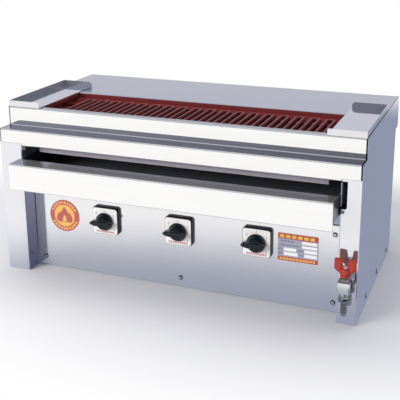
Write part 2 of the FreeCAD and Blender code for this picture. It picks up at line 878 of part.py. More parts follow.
def valve_body():
    """Angle valve: union against the leg, square body, outlet hexagon below."""
    half = valve_body_width / 2
    reach = leg_y - valve_back
    body = block(valve_x - half, valve_y - half, valve_low, valve_x + half, valve_back, valve_high)
    body = body.makeChamfer(valve_chamfer, edges_along(body, (0, 0, 1)))
    neck = rod(valve_x, leg_y, valve_level, (0, -1, 0), neck_radius, reach)
    union = hexagon(valve_x, leg_y, valve_level, (0, -1, 0), union_flat, reach - union_gap)
    outlet = hexagon(valve_x, valve_y, valve_low, (0, 0, -1), outlet_flat, outlet_height)
    entry = 2 * (pipe_entry + lap_gap)
    cutters = [
        hole(valve_x, leg_y, valve_level, (0, 1, 0), pipe_radius + turning_fit, entry),
        rod(valve_x, valve_y, valve_level, (0, 1, 0), barb_bore_radius, valve_reach),
        rod(valve_x, valve_y, valve_level, (0, 0, -1), barb_bore_radius, valve_body_height + outlet_height),
        rod(valve_x, valve_y, valve_high - stem_entry, (0, 0, 1), stem_radius + turning_fit, 2 * stem_entry),
    ]
    return fuse([body, neck, union, outlet]).cut(fuse(cutters))


def valve_bonnet():
    """Packing nut on top of the body."""
    nut = rod(valve_x, valve_y, valve_high, (0, 0, 1), bonnet_radius, bonnet_height)
    nut = nut.makeChamfer(bonnet_chamfer, edges_at(nut, (0, 0, 1), valve_high + bonnet_height))
    return nut.cut(hole(valve_x, valve_y, valve_high, (0, 0, 1), stem_radius + turning_fit, 4 * bonnet_height))


def valve_stem():
    low = valve_high - stem_entry + lap_gap
    return rod(valve_x, valve_y, low, (0, 0, 1), stem_radius, handle_z + stem_in_handle - low)


def valve_handle():
    """Butterfly handle: a hub and two upright wings."""
    top = handle_z + handle_rise
    saddle = handle_z + handle_hub_height
    half = handle_span / 2
    root = handle_hub_radius - handle_hub_draft
    right = [
        (valve_x + root, handle_z + handle_wing_root),
        (valve_x + half, top - handle_wing_edge),
        (valve_x + half, top),
        (valve_x + handle_valley / 2, top),
        (valve_x + handle_valley_foot / 2, saddle),
    ]
    left = [(2 * valve_x - x, z) for x, z in right[::-1]]
    thick = handle_wing_thickness / 2
    wings = plate("xz", right + left, valve_y - thick, valve_y + thick)
    base = Vector(valve_x, valve_y, handle_z)
    hub = Part.makeCone(root, handle_hub_radius, handle_hub_height, base)
    bore = rod(valve_x, valve_y, handle_z, (0, 0, 1), stem_radius + turning_fit, stem_in_handle)
    return fuse([hub, wings]).cut(bore)


def hose_barb():
    """Ribbed nipple for the drain hose."""
    pitch = barb_length / (barb_count + 1)
    profile = [(barb_bore_radius, barb_top), (barb_root_radius, barb_top)]
    for i in range(barb_count):
        edge = barb_top - pitch * (i + 2 / 3)
        profile += [(barb_radius, edge), (barb_root_radius, edge - pitch * 0.8)]
    profile += [(barb_root_radius, barb_top - barb_length), (barb_bore_radius, barb_top - barb_length)]
    ring = [Vector(valve_x + r, valve_y, z) for r, z in profile]
    face = Part.Face(Part.makePolygon(ring + ring[:1]))
    return face.revolve(Vector(valve_x, valve_y, 0), Vector(0, 0, 1), 360)


def switch_frame(x):
    """Black frame between the panel and the card."""
    frame = rounded_card(x, switch_level, switch_plate, switch_plate, switch_plate_radius, frame_y, fascia_y)
    bore = switch_collar_radius + switch_collar_fit
    return frame.cut(hole(x, fascia_y, switch_level, (0, 1, 0), bore, 4 * switch_frame_depth))


def switch_dial(x):
    """White card on the front of the frame."""
    size = switch_plate - 2 * card_margin
    card = rounded_card(x, switch_level, size, size, switch_plate_radius - card_margin, card_y, frame_y)
    return card.cut(hole(x, frame_y, switch_level, (0, 1, 0), shaft_radius + card_hole_gap, 4 * card_thickness))


def switch_block(x):
    """Contact block behind the panel with the collar that passes through it."""
    half = switch_body / 2
    low = switch_level - half
    body = block(x - half, switch_front_y, low, x + half, switch_rear_y, switch_level + half)
    body = body.makeChamfer(switch_body_chamfer, edges_along(body, (0, 1, 0)))
    collar = rod(x, frame_y, switch_level, (0, 1, 0), switch_collar_radius, switch_body_depth / 2)
    bore_length = switch_rear_y - switch_back_wall - frame_y
    bore = rod(x, frame_y, switch_level, (0, 1, 0), shaft_radius + turning_fit, bore_length)
    return fuse([body, collar]).cut(bore)


def switch_shaft(x):
    start = knob_y - shaft_in_knob
    return rod(x, start, switch_level, (0, 1, 0), shaft_radius, shaft_end_y - start)


def switch_knob(x):
    """Round skirt and crown with a pointed grip across them."""
    skirt = rod(x, knob_y, switch_level, (0, -1, 0), skirt_radius, skirt_height)
    skirt = skirt.makeChamfer(skirt_chamfer, edges_at(skirt, (0, -1, 0), skirt_height - knob_y))
    crown_base = Vector(x, knob_y - skirt_height, switch_level)
    crown = Part.makeCone(
        crown_radius, crown_radius - crown_draft, crown_height, crown_base, Vector(0, -1, 0)
    )
    half = grip_thickness / 2
    outline = [
        (x - grip_long, switch_level),
        (x - crown_radius, switch_level + half),
        (x + crown_radius, switch_level + half),
        (x + grip_short, switch_level),
        (x + crown_radius, switch_level - half),
        (x - crown_radius, switch_level - half),
    ]
    grip = plate("xz", outline, knob_y - knob_height, knob_y - grip_foot)
    bore = rod(x, knob_y, switch_level, (0, -1, 0), shaft_radius + turning_fit, shaft_in_knob)
    return fuse([skirt, crown, grip]).cut(bore)


def badge_disc():
    return rod(badge_x, fascia_y, badge_level, (0, -1, 0), badge_radius, badge_thickness)


def rating_plate():
    near = fascia_y - label_thickness
    return rounded_card(label_x, label_level, label_width, label_height, label_radius, near, fascia_y)


def screw(x, y, z, axis):
    """Domed screw; its head sits on the sheet at the point, and axis points out of the sheet."""
    out = Vector(*axis)
    seat = Vector(x, y, z)
    ball = (screw_head_radius**2 + screw_head_height**2) / (2 * screw_head_height)
    dome = Part.makeSphere(ball, seat - out * (ball - screw_head_height))
    head = dome.common(Part.makeCylinder(screw_head_radius, 2 * screw_head_height, seat, out))
    shank = Part.makeCylinder(screw_shank_radius, screw_shank, seat - out * screw_shank, out)
    return fuse([head, shank])


def panel_screws():
    return Part.makeCompound([screw(x, fascia_y, z, (0, -1, 0)) for x, z in panel_screw_places()])


def side_screws():
    spots = [(side, y) for side in (-1, 1) for y in side_screw_places()]
    return Part.makeCompound(
        [screw(side * half_width, y, side_screw_level, (side, 0, 0)) for side, y in spots]
    )


def rear_screws():
    return Part.makeCompound([screw(x, rear_y, z, (0, 1, 0)) for x, z in rear_screw_places()])


def terminal_block():
    """Supply terminals on the compartment floor, each screw in its own well."""
    top = base_z + terminal_height
    back = terminal_y + terminal_width
    body = block(terminal_x, terminal_y, base_z, terminal_x + terminal_length, back, top)
    wells = []
    for i in range(terminal_ways):
        left = terminal_x + terminal_pitch * i + terminal_well_wall
        right = left + terminal_pitch - 2 * terminal_well_wall
        near = terminal_y + terminal_well_end
        wells.append(block(left, near, terminal_floor_z, right, back - terminal_well_end, top + sheet))
    return body.cut(fuse(wells))


def block_screws():
    """Screw heads in the wells of the terminal block."""
    y = terminal_y + terminal_width / 2
    heads = []
    for i in range(terminal_ways):
        x = terminal_x + terminal_pitch * (i + 0.5)
        heads.append(rod(x, y, terminal_floor_z, (0, 0, 1), terminal_screw_radius, terminal_screw_height))
    return Part.makeCompound(heads)


def cable_gland():
    """Supply inlet: threaded body through the rear panel, with its hexagon and dome outside."""
    dome_y = rear_y + gland_hex_height
    body = rod(gland_x, rear_y - gland_inside, gland_level, (0, 1, 0), gland_radius, dome_y - rear_y + gland_inside)
    collar = hexagon(gland_x, rear_y, gland_level, (0, 1, 0), gland_hex_flat, gland_hex_height)
    base = Vector(gland_x, dome_y, gland_level)
    dome = Part.makeCone(gland_dome_foot, gland_dome_tip, gland_dome, base, Vector(0, 1, 0))
    length = gland_inside + gland_hex_height + gland_dome
    bore = rod(gland_x, rear_y - gland_inside, gland_level, (0, 1, 0), gland_bore_radius, length)
    return fuse([body, collar, dome]).cut(bore)


def gland_nut():
    """Lock nut of the inlet inside the rear panel."""
    y = rear_y - sheet - gland_hex_height
    nut = hexagon(gland_x, y, gland_level, (0, 1, 0), gland_hex_flat, gland_hex_height)
    return nut.cut(hole(gland_x, y, gland_level, (0, 1, 0), gland_radius + turning_fit, 4 * gland_hex_height))


def heater_loom():
    """Heater wires: over the switches, out beside them, up in the left leg and along the duct."""
    last = tail_places()[-1]
    start = switch_places[-1] + loom_radius
    trunk = [
        (start, loom_y, loom_z),
        (loom_x, loom_y, loom_z),
        (loom_x, leg_middle_y, loom_z),
        (loom_x, leg_middle_y, duct_z),
        (last + loom_radius, leg_middle_y, duct_z),
    ]
    pieces = [wire_tube(trunk, loom_bend, loom_radius)]
    switch_top = switch_level + switch_body / 2
    for x in switch_places:
        pieces.append(rod(x, loom_y, switch_top, (0, 0, 1), lead_radius, loom_z - switch_top))
    nut_foot = tail_z - stud_nut_flat / 2
    for x in tail_places():
        lead = [(x, leg_middle_y, duct_z), (x, nut_middle_y, duct_z), (x, nut_middle_y, nut_foot)]
        pieces.append(wire_tube(lead, lead_bend, lead_radius))
    return fuse(pieces)


def switch_wiring():
    """Supply wires from the terminal block along the floor and up to the back of each switch."""
    start = terminal_x + terminal_length / 2
    z = base_z + supply_above_base
    y = switch_rear_y + supply_behind_switch
    first = switch_places[0]
    trunk = [
        (start, terminal_y, z),
        (start, y, z),
        (first, y, z),
        (first, y, switch_level),
        (first, switch_rear_y, switch_level),
    ]
    pieces = [wire_tube(trunk, loom_bend, loom_radius)]
    for x in switch_places[1:]:
        riser = [(x, y, z), (x, y, switch_level), (x, switch_rear_y, switch_level)]
        pieces.append(wire_tube(riser, loom_bend, loom_radius))
    return fuse(pieces)


nodes = {
    "front_fascia": front_fascia(),
    "top_deck": top_deck(),
    "rear_panel": rear_panel(),
    "base_pan": base_pan(),
    "cross_rail": cross_rail(),
    "control_panel": control_panel(),
    "partition_plate": partition_plate(),
    "fire_box": fire_box(),
    "reflector_plate": reflector_plate(),
    "heater_supports": heater_supports(),
    "heater_bushings": heater_bushings(),
    "heater_terminals": heater_terminals(),
    "drawer_pan": drawer_pan(),
    "drawer_front": drawer_front(),
    "drain_tray": drain_tray(),
    "drain_pipe": drain_pipe(),
    "drain_lock_nut": drain_lock_nut(),
    "valve_body": valve_body(),
    "valve_bonnet": valve_bonnet(),
    "valve_stem": valve_stem(),
    "valve_handle": valve_handle(),
    "hose_barb": hose_barb(),
    "badge_disc": badge_disc(),
    "rating_plate": rating_plate(),
    "panel_screws": panel_screws(),
    "side_screws": side_screws(),
    "rear_screws": rear_screws(),
    "terminal_block": terminal_block(),
    "block_screws": block_screws(),
    "cable_gland": cable_gland(),
    "gland_nut": gland_nut(),
    "heater_loom": heater_loom(),
    "switch_wiring": switch_wiring(),
}
for name, side in {"left": -1, "right": 1}.items():
    nodes["side_panel_" + name] = side_panel(side)
    nodes["end_tray_" + name] = end_tray(side)
    nodes["drawer_rail_" + name] = drawer_rail(side)
for i, name in enumerate(("left", "middle", "right")):
    nodes["heater_" + name] = heater(i)
    nodes["switch_frame_" + name] = switch_frame(switch_places[i])
    nodes["switch_dial_" + name] = switch_dial(switch_places[i])
    nodes["switch_block_" + name] = switch_block(switch_places[i])
    nodes["switch_shaft_" + name] = switch_shaft(switch_places[i])
    nodes["switch_knob_" + name] = switch_knob(switch_places[i])

os.makedirs("parts", exist_ok=True)
for name, shape in nodes.items():
    shape.exportStep("parts/" + name + ".step")
    box = shape.BoundBox
    print(name, len(shape.Solids), shape.isValid(), round(shape.Volume), "mm3", end="  ")
    print("x %.1f %.1f  y %.1f %.1f" % (box.XMin, box.XMax, box.YMin, box.YMax), end="  ")
    print("z %.1f %.1f" % (box.ZMin, box.ZMax))
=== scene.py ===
"""Looks of the counter-top skewer grill, in metres, round the frame of its solids."""

from math import cos, pi, radians, sin

import bmesh
import bpy
from mathutils import Matrix, Vector


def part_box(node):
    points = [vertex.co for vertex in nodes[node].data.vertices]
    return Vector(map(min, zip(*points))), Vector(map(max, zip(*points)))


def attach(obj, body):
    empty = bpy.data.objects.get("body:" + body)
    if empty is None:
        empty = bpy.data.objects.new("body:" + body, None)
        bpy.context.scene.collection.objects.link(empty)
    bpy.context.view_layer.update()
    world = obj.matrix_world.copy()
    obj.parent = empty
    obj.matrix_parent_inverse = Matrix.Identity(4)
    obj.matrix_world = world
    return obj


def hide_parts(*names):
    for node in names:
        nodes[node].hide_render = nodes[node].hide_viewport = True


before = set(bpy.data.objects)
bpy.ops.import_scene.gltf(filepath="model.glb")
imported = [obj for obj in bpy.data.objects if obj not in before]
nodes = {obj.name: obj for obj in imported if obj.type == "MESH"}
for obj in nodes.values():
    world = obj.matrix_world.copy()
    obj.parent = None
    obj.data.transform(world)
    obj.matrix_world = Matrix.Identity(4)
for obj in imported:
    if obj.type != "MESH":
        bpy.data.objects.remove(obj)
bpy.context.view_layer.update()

# Counter and studio.
# A pale counter in soft light, which runs out into white round the grill. A low soft lamp stands
# at the front left and one hangs overhead. Grey boards round the grill are painted reflections,
# seen only in polished surfaces. A grey sheet on the counter, also seen only in polished surfaces,
# is a painted shadow of the grill: solid under and behind the grill, fading out further off.
COUNTER_SIZE = 40.0
COUNTER_COLOUR = (0.80, 0.805, 0.825, 1)
LIT_SPOT = (0.05, 0.10, 0.0)
LIT_REACH = (0.52, 0.34, 1.0)  # half axes of the oval of lit counter
LIT_TO = 1.8  # the counter is white from here on, in half axes
# painted shadow of the grill on the counter, seen only in polished surfaces
SHADOW_SHEET_COLOUR = (0.29, 0.325, 0.44, 1)
SHADOW_SHEET_SPOT = (0.34, 0.57, 0.0)
SHADOW_SHEET_REACH = (0.85, 0.62, 1.0)
SHADOW_SHEET_TO = 1.75
SHADOW_SHEET_ABOVE_COUNTER = 0.0003
WHITE = (1, 1, 1, 1)
SKY_COLOUR = (0.69, 0.715, 0.79, 1)
SKY_LEVEL = 0.62
SWEEP_COLOUR = (0.62, 0.63, 0.71, 1)  # backdrop above the counter
SWEEP_TOP = 0.2  # sine of the height at which the backdrop has that colour


class Value:
    """A number that changes over a surface; sums and products of it add the nodes."""

    def __init__(self, finish, socket):
        self.finish = finish
        self.socket = socket

    def __add__(self, other):
        return self.finish.maths("ADD", self, other)

    def __sub__(self, other):
        return self.finish.maths("SUBTRACT", self, other)

    def __rsub__(self, other):
        return self.finish.maths("SUBTRACT", other, self)

    def __mul__(self, other):
        return self.finish.maths("MULTIPLY", self, other)

    def __truediv__(self, other):
        return self.finish.maths("DIVIDE", self, other)

    def __gt__(self, other):
        return self.finish.maths("GREATER_THAN", self, other)

    def __lt__(self, other):
        return self.finish.maths("LESS_THAN", self, other)

    def __abs__(self):
        return self.finish.maths("ABSOLUTE", self)

    __radd__ = __add__
    __rmul__ = __mul__


class Finish:
    """A surface finish: nodes are added one at a time and feed one shader."""

    def __init__(self, tree, shader, target):
        self.tree = tree
        self.tree.nodes.clear()
        self.shader = self.tree.nodes.new(shader)
        self.target = self.tree.nodes.new(target)
        self.tree.links.new(self.shader.outputs[0], self.target.inputs[0])

    def add(self, kind, settings, inputs, output=0):
        """One node: its settings are set first, then the values or links of its sockets."""
        node = self.tree.nodes.new("ShaderNode" + kind)
        for name, value in settings.items():
            setattr(node, name, value)
        self.feed(node, inputs)
        return Value(self, node.outputs[output])

    def feed(self, node, inputs):
        for socket, value in inputs.items():
            if isinstance(value, Value):
                self.tree.links.new(value.socket, node.inputs[socket])
            else:
                node.inputs[socket].default_value = value

    def maths(self, operation, *terms):
        return self.add("Math", {"operation": operation}, dict(enumerate(terms)))

    def rise(self, value, low, high):
        """Smooth step from 0 at low to 1 at high."""
        ends = {0: value, 1: low, 2: high, 3: 0.0, 4: 1.0}
        return self.add("MapRange", {"interpolation_type": "SMOOTHSTEP"}, ends)

    def mix(self, amount, first, second):
        """Colour between two colours."""
        return self.add("Mix", {"data_type": "RGBA"}, {0: amount, 6: first, 7: second}, 2)

    def parts_of(self, vector):
        return [self.add("SeparateXYZ", {}, {0: vector}, i) for i in range(3)]

    def noise(self, point, scale, detail=2.0):
        """Cloudy number about one half; scale is in patches per metre along X, Y and Z."""
        spread = self.add("Mapping", {}, {0: point, 3: scale})
        return self.add("TexNoise", {}, {"Vector": spread, "Scale": 1.0, "Detail": detail})


def seen_directly(finish):
    """1 for rays from the camera, off metal or through glass, and 0 for rays that only light."""
    rays = [
        finish.add("LightPath", {}, {}, name)
        for name in ("Is Camera Ray", "Is Glossy Ray", "Is Transmission Ray")
    ]
    return finish.maths("MAXIMUM", finish.maths("MAXIMUM", rays[0], rays[1]), rays[2])


world = bpy.data.worlds.new("studio")
bpy.context.scene.world = world
world.use_nodes = True
sky = Finish(world.node_tree, "ShaderNodeBackground", "ShaderNodeOutputWorld")
direct = seen_directly(sky)
height = sky.parts_of(sky.add("TexCoord", {}, {}, "Generated"))[2]
backdrop = sky.mix(sky.rise(height, 0.0, SWEEP_TOP), WHITE, SWEEP_COLOUR)
sky.feed(
    sky.shader,
    {
        "Color": sky.mix(direct, SKY_COLOUR, backdrop),
        "Strength": SKY_LEVEL + direct * (1 - SKY_LEVEL),
    },
)


def stage_sheet(name, wide, high, surface):
    """Flat rectangle of the studio, not part of the grill."""
    shape = bmesh.new()
    bmesh.ops.create_grid(shape, x_segments=1, y_segments=1, size=0.5)
    bmesh.ops.scale(shape, vec=(wide, high, 1), verts=shape.verts)
    sheet = bpy.data.objects.new(name, bpy.data.meshes.new(name))
    shape.to_mesh(sheet.data)
    shape.free()
    sheet.data.materials.append(surface)
    bpy.context.scene.collection.objects.link(sheet)
    return sheet


def half_axes(finish, point, middle, reach):
    """Distance from the middle of an oval, in its half axes."""
    apart = finish.add("VectorMath", {"operation": "SUBTRACT"}, {0: point, 1: middle})
    apart = finish.add("VectorMath", {"operation": "DIVIDE"}, {0: apart, 1: reach})
    return finish.add("VectorMath", {"operation": "LENGTH"}, {0: apart}, "Value")


surface = bpy.data.materials.new("counter")
surface.use_nodes = True
top = Finish(surface.node_tree, "ShaderNodeMixShader", "ShaderNodeOutputMaterial")
point = top.add("TexCoord", {}, {}, "Object")
speckle = top.noise(point, (90, 90, 90)) * 0.06
lit = top.add("BsdfDiffuse", {}, {"Color": top.mix(speckle, COUNTER_COLOUR, WHITE)})
glow = top.add("Emission", {}, {"Color": WHITE, "Strength": 1.0})
blend = seen_directly(top) * top.rise(half_axes(top, point, LIT_SPOT, LIT_REACH), 1.0, LIT_TO)
top.feed(top.shader, {0: blend, 1: lit, 2: glow})
stage_sheet("counter", COUNTER_SIZE, COUNTER_SIZE, surface)


def facing(thing, place, aim):
    """Puts a lamp or a board at a place, with its face towards a point."""
    thing.location = place
    thing.rotation_euler = (Vector(aim) - Vector(place)).to_track_quat("-Z", "Y").to_euler()


def only_mirrored(sheet):
    """Leaves a sheet of the studio to polished surfaces alone."""
    sheet.visible_camera = False
    sheet.visible_diffuse = False
    sheet.visible_shadow = False


def grey_board(name, place, aim, wide, high, left, right):
    """Board at a place, facing a point, seen only in mirrors as a painted reflection; graded left
    to right.
    """
    surface = bpy.data.materials.new(name)
    surface.use_nodes = True
    board = Finish(surface.node_tree, "ShaderNodeEmission", "ShaderNodeOutputMaterial")
    across = board.parts_of(board.add("TexCoord", {}, {}, "Object"))[0] / wide
    graded = board.mix(board.rise(across, -0.4, 0.6), left, right)
    board.feed(board.shader, {"Color": graded, "Strength": 1.0})
    sheet = stage_sheet(name, wide, high, surface)
    facing(sheet, place, aim)
    only_mirrored(sheet)


PALE_SLATE = (0.22, 0.23, 0.34, 1)
SLATE = (0.10, 0.12, 0.17, 1)
DARK_SLATE = (0.05, 0.055, 0.10, 1)
NIGHT = (0.010, 0.016, 0.022, 1)
GRILL_TOP = (0, 0, 0.3)  # what the standing boards face
grey_board("front_board", (-1.45, -2.9, 1.2), GRILL_TOP, 4.2, 1.8, PALE_SLATE, DARK_SLATE)
grey_board("corner_board", (1.35, -2.7, 1.0), GRILL_TOP, 1.4, 1.0, SLATE, DARK_SLATE)
grey_board("rear_board", (1.75, 2.3, 0.95), GRILL_TOP, 1.6, 1.3, SLATE, SLATE)
# A small dark board lies flat on the counter, in front of the drain valve: a painted dark
# reflection in the valve's chrome.
grey_board("low_board", (0.375, -0.29, 0.002), (0.375, -0.29, 1), 0.12, 0.12, NIGHT, NIGHT)

# The grill's painted shadow on the counter, seen only in polished surfaces.
surface = bpy.data.materials.new("painted_shadow_sheet")
surface.use_nodes = True
shadow_sheet = Finish(surface.node_tree, "ShaderNodeMixShader", "ShaderNodeOutputMaterial")
point = shadow_sheet.add("TexCoord", {}, {}, "Object")
shadow_sheet.feed(
    shadow_sheet.shader,
    {
        0: shadow_sheet.rise(half_axes(shadow_sheet, point, SHADOW_SHEET_SPOT, SHADOW_SHEET_REACH), 1.0, SHADOW_SHEET_TO),
        1: shadow_sheet.add("Emission", {}, {"Color": SHADOW_SHEET_COLOUR, "Strength": 1.0}),
        2: shadow_sheet.add("BsdfTransparent", {}, {}),
    },
)
sheet = stage_sheet("painted_shadow_sheet", 4.0, 4.0, surface)
sheet.location.z = SHADOW_SHEET_ABOVE_COUNTER
only_mirrored(sheet)


def soft_lamp(name, place, wide, high, watts, colour):
    """Rectangular lamp that faces the grill and that polished sheet doesn't show."""
    lamp = bpy.data.lights.new(name, "AREA")
    lamp.shape = "RECTANGLE"
    lamp.size = wide
    lamp.size_y = high
    lamp.energy = watts
    lamp.color = colour
    holder = bpy.data.objects.new(name, lamp)
    holder.visible_glossy = False
    facing(holder, place, (0, 0, 0.1))
    bpy.context.scene.collection.objects.link(holder)


soft_lamp("lamp_front_left", (-1.6, -2.3, 1.0), 1.4, 0.9, watts=62, colour=(1.0, 0.965, 0.93))
soft_lamp("lamp_overhead", (-0.1, 0.1, 2.6), 2.2, 1.8, watts=26, colour=(1.0, 0.98, 0.96))

# Camera.
# It sits above and to the right of the front, as in the photograph, with a long lens whose shift
# keeps the uprights from leaning in.
YAW = 21.64
PITCH = 15.73
ROLL = -0.47
camera = bpy.data.objects.new("camera", bpy.data.cameras.new("camera"))
camera.data.sensor_width = 36.0
camera.data.lens = 73.8
camera.data.shift_y = -0.15
turn = Matrix.Rotation(radians(YAW), 4, "Z") @ Matrix.Rotation(radians(90 - PITCH), 4, "X")
roll = Matrix.Rotation(radians(ROLL), 4, "Z")
camera.matrix_world = Matrix.Translation((0.528, -1.330, 0.639)) @ turn @ roll
bpy.context.scene.collection.objects.link(camera)
bpy.context.scene.camera = camera
bpy.context.scene.view_settings.view_transform = "Standard"

# Side panels.
# Folded stainless sheet of 1.2 mm, each side in one piece with its front leg, with a polished face
# and fine upright grinding lines. The inner face of each leg is rougher below the drawer, and its
# colour there is painted darker as shade.
CASING_COLOUR = (0.83, 0.83, 0.87, 1)
# painted shade on the inner faces of the legs under the drawer
RETURN_SHADE_COLOUR = (0.25, 0.25, 0.355, 1)
# painted shadow line in the gap at the right panel's edge by the lip
GAP_SHADOW_COLOUR = (0.03, 0.045, 0.06, 1)
POLISHED = 0.90  # the rest is haze and fine scratches that scatter light
LINES_ALONG_Z = (700, 700, 6)
HALF_SHEET = 0.0006  # the casing is sheet of 1.2 mm
leg_inner = -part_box("side_panel_left")[1].x  # the returns of both legs lie at this X
casing_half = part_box("side_panel_right")[1].x
lip_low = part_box("front_fascia")[0].z
drawer_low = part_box("drawer_front")[0].z


def surface_finish(name):
    """New material with one principled shader."""
    material = bpy.data.materials.new(name)
    material.use_nodes = True
    tree = material.node_tree
    return material, Finish(tree, "ShaderNodeBsdfPrincipled", "ShaderNodeOutputMaterial")


def darker(colour, share):
    """The same colour with its light taken down to a share."""
    return tuple(c * share for c in colour[:3]) + (1,)


def sheet_marks(steel, point, grain):
    """Grinding lines along the grain, clouds of wiping, and the slow swell of thin sheet."""
    lines = steel.noise(point, grain, 3.0)
    clouds = steel.noise(point, (7, 7, 7), 3.0)
    return lines, clouds, steel.noise(point, (3.2, 3.2, 3.2), 1.0)


def dress(material, *names):
    """Gives solids that are right as they are their finish."""
    for name in names:
        nodes[name].material_slots[0].material = material


material, casing = surface_finish("casing_steel")
point = casing.add("TexCoord", {}, {}, "Object")
x, y, z = casing.parts_of(point)
lines, clouds, swell = sheet_marks(casing, point, LINES_ALONG_Z)
# inner faces of the legs under the drawer: rougher, and painted darker as shade
rough_and_shaded_return = (abs(x) < leg_inner + HALF_SHEET) * (z < drawer_low)
# the right panel's faces above the lip, but for its outer face, are painted dark as the shadow in
# the gap
gap_shadow = (x < casing_half - 0.0002) * (x > 0.0) * (z > lip_low)  # right panel's edge by the lip
colour = casing.mix(lines * 0.6 + clouds * 0.4, darker(CASING_COLOUR, 0.95), CASING_COLOUR)
casing.feed(
    casing.shader,
    {
        "Base Color": casing.mix(gap_shadow, casing.mix(rough_and_shaded_return, colour, RETURN_SHADE_COLOUR), GAP_SHADOW_COLOUR),
        "Metallic": POLISHED,
        "Roughness": 0.06 + (lines - 0.5) * 0.03 + (clouds - 0.5) * 0.04 + rough_and_shaded_return * 0.2,
        "Normal": casing.add("Bump", {}, {"Strength": 1.0, "Distance": 0.0003, "Height": swell}),
    },
)
dress(material, "side_panel_left", "side_panel_right")

# Control panel.
# One flat stainless sheet between the legs, ground along its length and polished. Four screws hold
# it, and it closes the compartment of the switches.
PANEL_COLOUR = (0.90, 0.895, 0.90, 1)
COAT_COLOUR = (0.155, 0.022, 0.023, 1)
LINES_ALONG_X = (6, 700, 700)
SQUARE_ON = 0.9  # least share of a normal along an axis, for a face that looks along it
HALF_WALL = 0.0005  # the fire box is sheet of 1 mm
box_low, box_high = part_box("fire_box")
bed_half = box_high.x - HALF_WALL
bed_front = box_low.y + HALF_WALL
bed_rear = box_high.y - HALF_WALL
bed_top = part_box("top_deck")[1].z - 0.0015  # just under the deck's face


def sheet_steel(name, colour, roughness, grain, wave, polish=POLISHED, shade_by_facing=(0, 0, 0)):
    """Polished sheet: fine lines along the grain, faint clouds of wiping, a slight wave.

    Faces that look along X, Y or Z are painted darker as shade, by the shares given for each axis.
    What of the sheet lies inside the fire bed has the deep red coat of the heaters.
    """
    material, steel = surface_finish(name)
    point = steel.add("TexCoord", {}, {}, "Object")
    x, y, z = steel.parts_of(point)
    coated = (abs(x) < bed_half) * (y > bed_front) * (y < bed_rear)
    coated = coated * (z > box_low.z) * (z < bed_top)
    lines, clouds, swell = sheet_marks(steel, point, grain)
    bare = steel.mix(lines * 0.6 + clouds * 0.4, darker(colour, 0.92), colour)
    ways = steel.parts_of(steel.add("NewGeometry", {}, {}, "Normal"))
    # painted shade on faces by the way they look
    facing_shade = sum((abs(way) > SQUARE_ON) * share for way, share in zip(ways, shade_by_facing))
    bare = steel.mix(facing_shade, bare, (0, 0, 0, 1))
    steel.feed(
        steel.shader,
        {
            "Base Color": steel.mix(coated, bare, COAT_COLOUR),
            "Metallic": (1.0 - coated) * polish,
            "Roughness": roughness + (lines - 0.5) * 0.03 + (clouds - 0.5) * 0.04 + coated * 0.5,
            "Normal": steel.add("Bump", {}, {"Strength": 1.0, "Distance": wave, "Height": swell}),
        },
    )
    return material


dress(sheet_steel("panel_steel", PANEL_COLOUR, 0.10, LINES_ALONG_X, 0.0003), "control_panel")

# Rear panel, base and partition.
# Folded stainless sheet with a plain mill finish, which closes the casing behind, below and over
# the switches. It is seen only from behind and below.
INNER_COLOUR = (0.56, 0.565, 0.60, 1)
dress(
    sheet_steel("inner_steel", INNER_COLOUR, 0.28, LINES_ALONG_X, 0.0006),
    "rear_panel", "base_pan", "partition_plate",
)

# Front sheet and cross rail.
# Ledge, fascia, shelf and lip are folded from one sheet with a mirror polish. An angle of the same
# sheet lies under the shelf, where its edge shows below the lip.
MIRROR_COLOUR = (0.97, 0.965, 0.955, 1)
# Faces that look up or down, the shelf and the top of the ledge among them, are painted darker as
# shade.
mirror_steel = sheet_steel(
    "mirror_steel", MIRROR_COLOUR, 0.04, LINES_ALONG_X, 0.0001, polish=0.92, shade_by_facing=(0, 0, 0.45)
)
dress(mirror_steel, "front_fascia", "cross_rail")

# Deck.
# The top sheet on three sides of the fire bed, with a satin grind along its length and its rear
# edge folded down and in.
DECK_COLOUR = (0.62, 0.625, 0.67, 1)
dress(sheet_steel("deck_steel", DECK_COLOUR, 0.16, LINES_ALONG_X, 0.0003), "top_deck")

# Heaters and the plate under them.
# Steel-sheathed rods of nearly 8 mm, bent to and fro, in a deep red coat, with a painted highlight
# along the top of each rod. The plate and the notched bars under them have the same kind of coat;
# the rods' red is painted darker and the plate's lighter than the bars', which evens out the light
# on the rods and the shade between them.
# the rods' red, painted darker than the bars' coat as shade against the light they catch
HEATER_COLOUR = (0.115, 0.016, 0.017, 1)
HEATER_SCORCHED = (0.085, 0.013, 0.014, 1)
# painted highlight along the top of each rod
HEATER_HIGHLIGHT = (0.24, 0.12, 0.125, 1)
# the plate's red, painted lighter than the bars' coat to lift the shade between the rods
PLATE_COAT = (0.19, 0.027, 0.030, 1)
UNHIGHLIGHTED = 1.0  # a height that nothing on the grill reaches
heaters = ("heater_left", "heater_middle", "heater_right")


def baked_coat(name, colour, scorched, roughness, top=UNHIGHLIGHTED):
    """Matt heatproof coat with darker clouds, a fine grain and a painted highlight just below the
    height top.
    """
    material, coat = surface_finish(name)
    point = coat.add("TexCoord", {}, {}, "Object")
    clouds = coat.noise(point, (45, 45, 45), 4.0)
    # painted highlight along the top of each rod
    painted_highlight = coat.rise(coat.parts_of(point)[2], top - 0.0004, top - 0.0001) * (clouds + 0.3)
    grain = coat.noise(point, (1500, 1500, 1500), 2.0)
    clouded = coat.mix(coat.rise(clouds, 0.35, 0.75), colour, scorched)
    coat.feed(
        coat.shader,
        {
            "Base Color": coat.mix(painted_highlight, clouded, HEATER_HIGHLIGHT),
            "Roughness": roughness + (clouds - 0.5) * 0.2,
            "Specular IOR Level": 0.08,
            "Normal": coat.add("Bump", {}, {"Strength": 0.3, "Distance": 0.0002, "Height": grain}),
        },
    )
    return material


